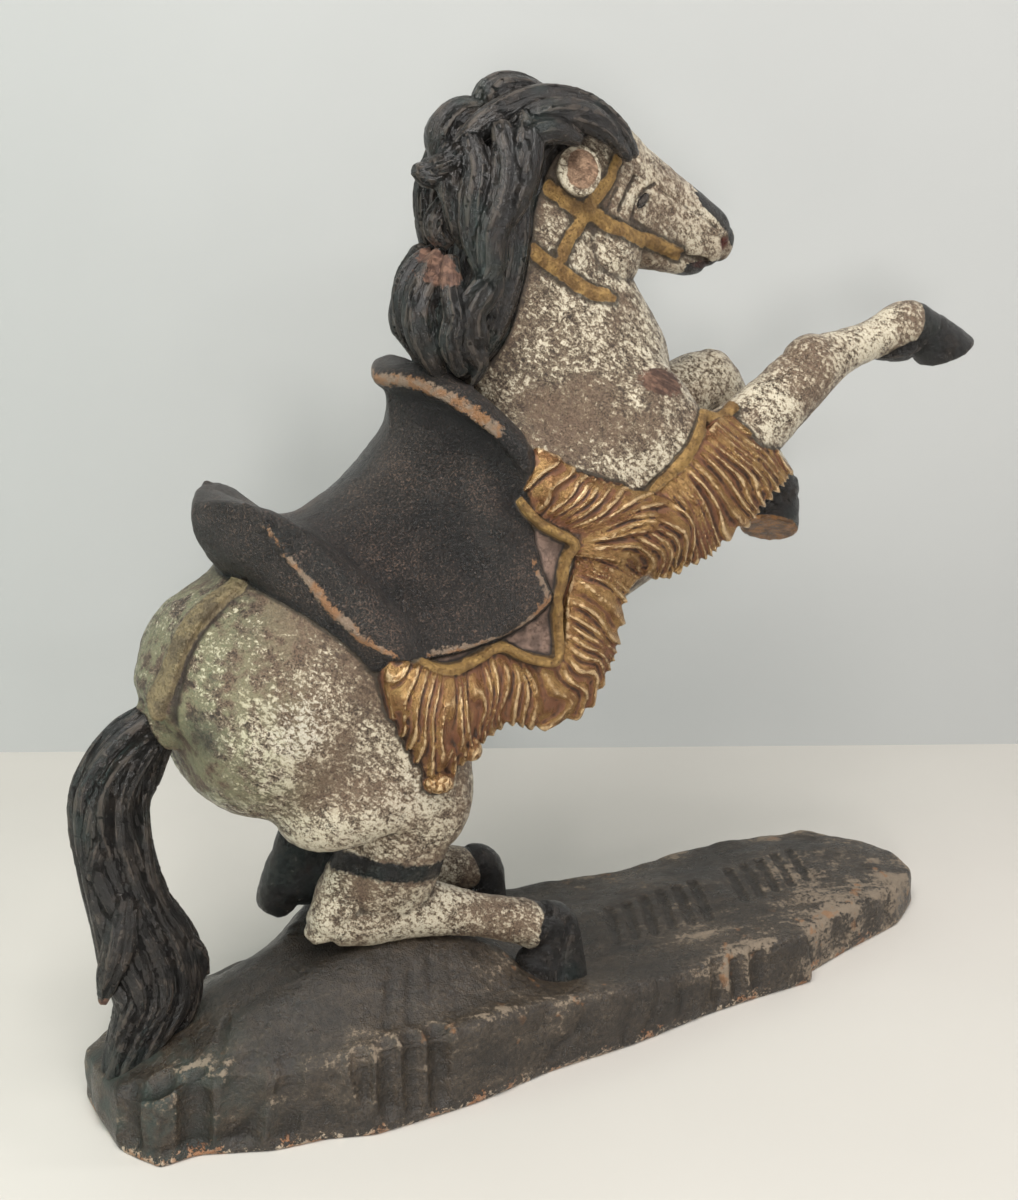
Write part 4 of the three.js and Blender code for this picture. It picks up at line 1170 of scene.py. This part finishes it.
def leatherPaint(f):  # grained leather painted black-brown, with painted shade in its hollows
    leather = f.ramp(f.add((f.crumb, 0.45), (f.speck, 0.35), (f.cloud, 0.3)),
                     (0.48, (0.006, 0.0052, 0.005)), (0.55, (0.015, 0.012, 0.0105)),
                     (0.60, (0.036, 0.027, 0.022)), (0.66, (0.12, 0.078, 0.056)))
    # painted shade: near black in the hollows of the saddle, such as under the pommel rim
    leather = f.mix(f.part(f.step(f.hollow, 0.45, 0.2), 0.7), leather, (0.005, 0.0045, 0.0045))
    rubbedEdge = f.mix(f.step(f.patch, 0.42, 0.58), (0.33, 0.17, 0.08), (0.30, 0.215, 0.15))
    leather = f.mix(f.part(f.zone("tan", 0.16, 1.3), 0.85), leather, rubbedEdge)
    return leather


def clothPaint(f):
    cloth = f.mix(f.step(f.patch, 0.4, 0.62), (0.27, 0.18, 0.138), (0.165, 0.11, 0.086))
    cloth = f.mix(f.part(f.step(f.attribute("cord"), 0.02, 0.35), 0.92), cloth, (0.012, 0.010, 0.009))
    cloth = f.mix(f.part(f.step(f.attribute("saddle"), 0.03, 0.3), 0.8), cloth, (0.025, 0.018, 0.015))
    return cloth


def giltPaint(f):  # gilding worn through to red bole and dark wood, with painted highlights on the ridges and painted shade in the recesses
    dull = f.step(f.add((f.patch, 0.6), (f.cloud, 0.4)), 0.38, 0.6)
    gilt = f.mix(dull, (0.36, 0.215, 0.085), (0.20, 0.095, 0.038))
    # painted highlight: pale gold on the ridges
    ridgeHighlight = f.step(f.add((f.relief, 0.9), (f.strand, 0.2), (f.speck, 0.3)), 0.86, 1.0)
    gilt = f.mix(f.part(ridgeHighlight, 0.8), gilt, (0.78, 0.57, 0.33))
    bole = f.add((f.relief, -0.6), (f.hollow, -0.35), (f.speck, 0.5), (f.patch, 0.4), (f.cloud, 0.5))
    bole = f.step(bole, 0.22, 0.36)
    gilt = f.mix(f.part(bole, 0.75), gilt, (0.15, 0.055, 0.026))
    flecks = f.step(f.add((f.crumb, 0.6), (f.speck, 0.4)), 0.55, 0.62)
    gilt = f.mix(f.part(flecks, 0.5), gilt, (0.07, 0.034, 0.016))
    # painted shade: near black in the fine recesses of the gold
    gilt = f.mix(f.part(f.step(f.relief, 0.36, 0.14), 0.85), gilt, (0.02, 0.011, 0.007))
    ochre = f.mix(f.step(f.patch, 0.4, 0.62), (0.37, 0.225, 0.075), (0.23, 0.13, 0.045))
    ochre = f.mix(f.part(flecks, 0.7), ochre, (0.09, 0.05, 0.022))
    # painted shade: dark in the fine recesses of the cord
    ochre = f.mix(f.part(f.step(f.relief, 0.42, 0.25), 0.8), ochre, (0.03, 0.018, 0.01))
    return gilt, ochre, bole


def woodPaint(f):
    timber = f.step(f.noise(300, 3, 0.65, 0.0, ((4.0, 1.0, 1.0), (0, 0.5, 0))), 0.4, 0.6)
    rawWood = f.mix(timber, (0.34, 0.215, 0.135), (0.15, 0.085, 0.05))
    oldWood = f.mix(timber, (0.17, 0.092, 0.06), (0.075, 0.038, 0.026))
    rawWood = f.mix(f.step(f.attribute("bare"), 0.3, 0.1), rawWood, oldWood)
    strapOlive = f.mix(f.step(f.patch, 0.4, 0.65), (0.215, 0.165, 0.085), (0.12, 0.09, 0.05))
    return rawWood, strapOlive


def horseFinish():
    f = Finish("wornGessoAndGold")
    f.relief, f.hollow = f.attribute("relief"), f.attribute("hollow")
    f.ragged = f.noise(450, 2, 0.65)
    f.speck = f.noise(600, 4, 0.8, 0.7)
    f.crumb = f.noise(1200, 2, 0.7)
    f.brush = f.noise(520, 3, 0.7, 0.0, ((2.6, 1.6, 1.0), (0, 0.75, 0.2)))
    f.patch = f.noise(120, 2, 0.62)
    f.cloud = f.attribute("cloud")
    f.strand = f.noise(0.55, 3, 0.65, place=f.attribute("grain", "Vector"))
    hide, wear, chips, pits = hidePaint(f)
    satin, rubbed, blackArea = satinPaint(f)
    leather, cloth = leatherPaint(f), clothPaint(f)
    gilt, ochre, bole = giltPaint(f)
    rawWood, strapOlive = woodPaint(f)

    goldArea, cordArea = f.zone("gold", 0.1, 0.2), f.zone("cord", 0.1, 0.1)
    colour = f.mix(blackArea, hide, satin)
    colour = f.mix(f.part(f.zone("tan", 0.1, 0.5), f.step(f.attribute("saddle"), 0.5, 0.3)), colour,
                   f.mix(f.step(f.patch, 0.4, 0.6), (0.30, 0.14, 0.045), (0.15, 0.075, 0.03)))
    colour = f.mix(f.zone("red", 0.15, 0.3), colour, (0.11, 0.028, 0.018))
    nostril = f.part(f.zone("black", 0.1, 0.2), f.part(f.zone("red", 0.15, 0.3), 0.8))
    colour = f.mix(nostril, colour, (0.012, 0.006, 0.005))
    # darker along the carved grooves: dark paint, partly painted shade in the slits and the mouth gap
    colour = f.mix(f.part(f.zone("grooveInkAndShade", 0.2, 0.5), 0.72), colour, (0.03, 0.021, 0.015))
    colour = f.mix(f.zone("band", 0.1, 0.1), colour, strapOlive)
    colour = f.mix(f.zone("blanket", 0.1, 0.1), colour, cloth)
    colour = f.mix(f.zone("saddle", 0.1, 0.1), colour, leather)
    colour = f.mix(goldArea, colour, gilt)
    colour = f.mix(cordArea, colour, ochre)
    bareArea = f.math("MAXIMUM", f.zone("bare", 0.12, 0.2), f.zone("wood", 0.08, 0.6))
    colour = f.mix(bareArea, colour, rawWood)

    worn = f.math("MAXIMUM", f.step(wear, 0.64, 0.71), chips)
    rough = f.mix(blackArea, f.mix(worn, 0.2, 0.55), f.mix(rubbed, 0.2, 0.42))
    saddleArea = f.zone("saddle")
    rough = f.mix(saddleArea, rough, f.mix(f.step(f.cloud, 0.4, 0.6), 0.27, 0.38))
    rough = f.mix(goldArea, rough, f.mix(bole, 0.2, 0.5))
    rough = f.mix(cordArea, rough, 0.5)
    rough = f.mix(f.math("MAXIMUM", bareArea, f.zone("blanket")), rough, 0.75)
    flakes = f.add((worn, -0.40), (pits, -0.35), (f.speck, 0.55), (f.crumb, 0.3))
    lines = f.add((f.strand, 0.9), (f.crumb, 0.3), (f.patch, 0.3))
    height = f.mix(f.math("MAXIMUM", f.zone("hair"), f.part(goldArea, 0.7)), flakes, lines)
    height = f.mix(saddleArea, height, f.add((f.crumb, 0.5), (f.speck, 1.0)))
    metal = f.part(f.math("MAXIMUM", goldArea, f.part(cordArea, 0.4)), f.mix(bole, 0.7, 0.1))
    return f.finish(colour, rough, metal, height, 0.0016)


def groundFinish():
    f = Finish("darkGroundPaint")
    relief, hollow = f.attribute("relief"), f.attribute("hollow")
    speck, patch, cloud = f.noise(420, 4, 0.76), f.noise(60, 3, 0.62), f.attribute("cloud")
    streak = f.noise(70, 4, 0.7, 0.0, ((3.6, 1.0, 1.0), (0, 0, -0.25)))
    crumb = f.noise(1000, 2, 0.75)
    split = f.nodes.new("ShaderNodeSeparateXYZ")
    f.links.new(f.place, split.inputs[0])
    x, z = split.outputs["X"], split.outputs["Z"]

    paint = f.ramp(f.add((speck, 0.4), (streak, 0.3), (cloud, 0.3)), (0.41, (0.013, 0.010, 0.007)),
                   (0.49, (0.031, 0.023, 0.016)), (0.56, (0.062, 0.046, 0.031)), (0.64, (0.13, 0.096, 0.066)))
    # painted light: the side window's greenish cast on the rear end of the ground
    paintedGreenLight = f.part(f.step(x, -0.17, -0.24), f.step(patch, 0.42, 0.6))
    paint = f.mix(f.part(paintedGreenLight, 0.6), paint, (0.026, 0.044, 0.038))
    wear = f.add((speck, 0.35), (streak, 0.45), (patch, 0.2), (cloud, 0.35), (f.step(x, 0.02, 0.2), 0.05),
                 (relief, 0.10))
    worn = f.step(wear, 0.80, 0.85)
    paint = f.mix(f.part(worn, 0.7), paint, (0.27, 0.21, 0.15))
    lowEdge = f.step(f.add((z, -30.0), (speck, 1.1), (patch, 0.8)), 0.86, 0.94)
    paint = f.mix(lowEdge, paint, f.mix(f.step(patch, 0.45, 0.6), (0.48, 0.39, 0.29), (0.28, 0.13, 0.06)))
    orange = f.part(f.step(patch, 0.62, 0.68), f.step(cloud, 0.52, 0.62))
    paint = f.mix(f.part(orange, 0.6), paint, (0.26, 0.12, 0.045))
    paint = f.mix(f.part(f.step(hollow, 0.45, 0.25), 0.55), paint, (0.012, 0.010, 0.008))
    rough = f.mix(worn, f.mix(f.step(patch, 0.4, 0.6), 0.27, 0.42), 0.6)
    height = f.add((worn, -0.25), (speck, 0.7), (streak, 0.5), (lowEdge, -0.4), (crumb, 0.35))
    return f.finish(paint, rough, None, height, 0.0014)


def placePiece(name, mesh, material, node):
    mesh.materials.clear()
    mesh.materials.append(material)
    mesh.polygons.foreach_set("use_smooth", [True] * len(mesh.polygons))
    piece = bpy.data.objects.new(name, mesh)
    bpy.context.scene.collection.objects.link(piece)
    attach(piece, "root")
    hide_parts(node)


placePiece("horse", buildHorse(), horseFinish(), "carved_horse")
placePiece("rockGround", buildGround(), groundFinish(), "ground_base")


# table, wall, light and camera

def plainMaterial(name, colour, roughness):
    f = Finish(name)
    tint = f.mix(f.step(f.noise(3.0, 3, 0.5), 0.3, 0.7), colour, tuple(c * 0.95 for c in colour))
    f.put(tint, f.shader.inputs["Base Color"])
    f.shader.inputs["Roughness"].default_value = roughness
    return f.material


planeHalf = 2.5  # half the width of the table and the wall, m


def stagePlane(name, middle, turn, lean, material):
    board = bmesh.new()
    place = Matrix.Translation(middle) @ Matrix.Rotation(turn, 4, "Z") @ Matrix.Rotation(lean, 4, "X")
    bmesh.ops.create_grid(board, x_segments=1, y_segments=1, size=planeHalf, matrix=place)
    mesh = bpy.data.meshes.new(name)
    board.to_mesh(mesh)
    mesh.materials.append(material)
    plane = bpy.data.objects.new(name, mesh)
    bpy.context.scene.collection.objects.link(plane)


def areaLight(name, place, aim, size, power, colour):
    data = bpy.data.lights.new(name, "AREA")
    data.shape = "RECTANGLE"
    data.size, data.size_y = size
    data.energy = power
    data.color = colour
    lamp = bpy.data.objects.new(name, data)
    bpy.context.scene.collection.objects.link(lamp)
    lamp.location = place
    lamp.rotation_euler = (Vector(aim) - Vector(place)).to_track_quat("-Z", "Y").to_euler()


room = {  # metres and degrees
    "target": (-0.02, 0, 0.23),
    "azimuth": -31,
    "elevation": 18,
    "distance": 0.85,
    "lens": 49.5,
    "wallSkew": 1.2,
    "wallGap": 0.345,  # from the target to the wall
    "table": (0.61, 0.58, 0.535),
    "wall": (0.455, 0.457, 0.45),
    "airLight": 0.2,
    "lamps": [  # name, place, target, sizes, power, colour
        ("ceiling", (-0.42, -0.55, 1.45), (-0.02, 0, 0.2), (0.9, 0.8), 23, (1.0, 0.98, 0.95)),
        ("roomWindow", (-0.95, -1.45, 0.5), (-0.1, 0, 0.25), (0.2, 0.3), 11, (1.0, 0.98, 0.95)),
        ("glassStrip", (-0.35, -1.3, 0.95), (-0.05, 0, 0.25), (0.5, 0.05), 3.0, (1.0, 1.0, 1.0)),
        ("sideWindow", (-1.25, 0.15, 0.55), (-0.1, 0, 0.25), (0.3, 0.4), 4, (0.72, 1.0, 0.92)),
        ("rightFill", (1.2, -0.9, 0.9), (0, 0, 0.25), (0.25, 0.3), 5, (1, 1, 1)),
    ],
}
target, distance = Vector(room["target"]), room["distance"]
azimuth, elevation = math.radians(room["azimuth"]), math.radians(room["elevation"])
wallTurn = -azimuth - math.radians(room["wallSkew"])
back = Vector((math.sin(wallTurn), math.cos(wallTurn), 0))  # away from the camera
wallFoot = Vector((target.x, target.y, 0)) + back * room["wallGap"]
stagePlane("tableTop", wallFoot - back * planeHalf, -wallTurn, 0,
           plainMaterial("paleTable", room["table"], 0.6))
stagePlane("paleWall", wallFoot + Vector((0, 0, planeHalf)), -wallTurn, math.pi / 2,
           plainMaterial("paleWallPaint", room["wall"], 0.8))

cameraData = bpy.data.cameras.new("camera")
cameraData.lens = room["lens"]
cameraData.sensor_width = 36
cameraData.clip_start = 0.01
camera = bpy.data.objects.new("camera", cameraData)
bpy.context.scene.collection.objects.link(camera)
camera.location = target + Vector((math.sin(azimuth) * math.cos(elevation),
                                   -math.cos(azimuth) * math.cos(elevation), math.sin(elevation))) * distance
camera.rotation_euler = (target - camera.location).to_track_quat("-Z", "Y").to_euler()
bpy.context.scene.camera = camera

world = bpy.data.worlds.new("softRoom")
world.use_nodes = True
world.node_tree.nodes["Background"].inputs["Color"].default_value = (0.95, 0.97, 1.0, 1)
world.node_tree.nodes["Background"].inputs["Strength"].default_value = room["airLight"]
bpy.context.scene.world = world
bpy.context.scene.view_settings.view_transform = "Standard"
for lamp in room["lamps"]:
    areaLight(*lamp)

print("scene ready")
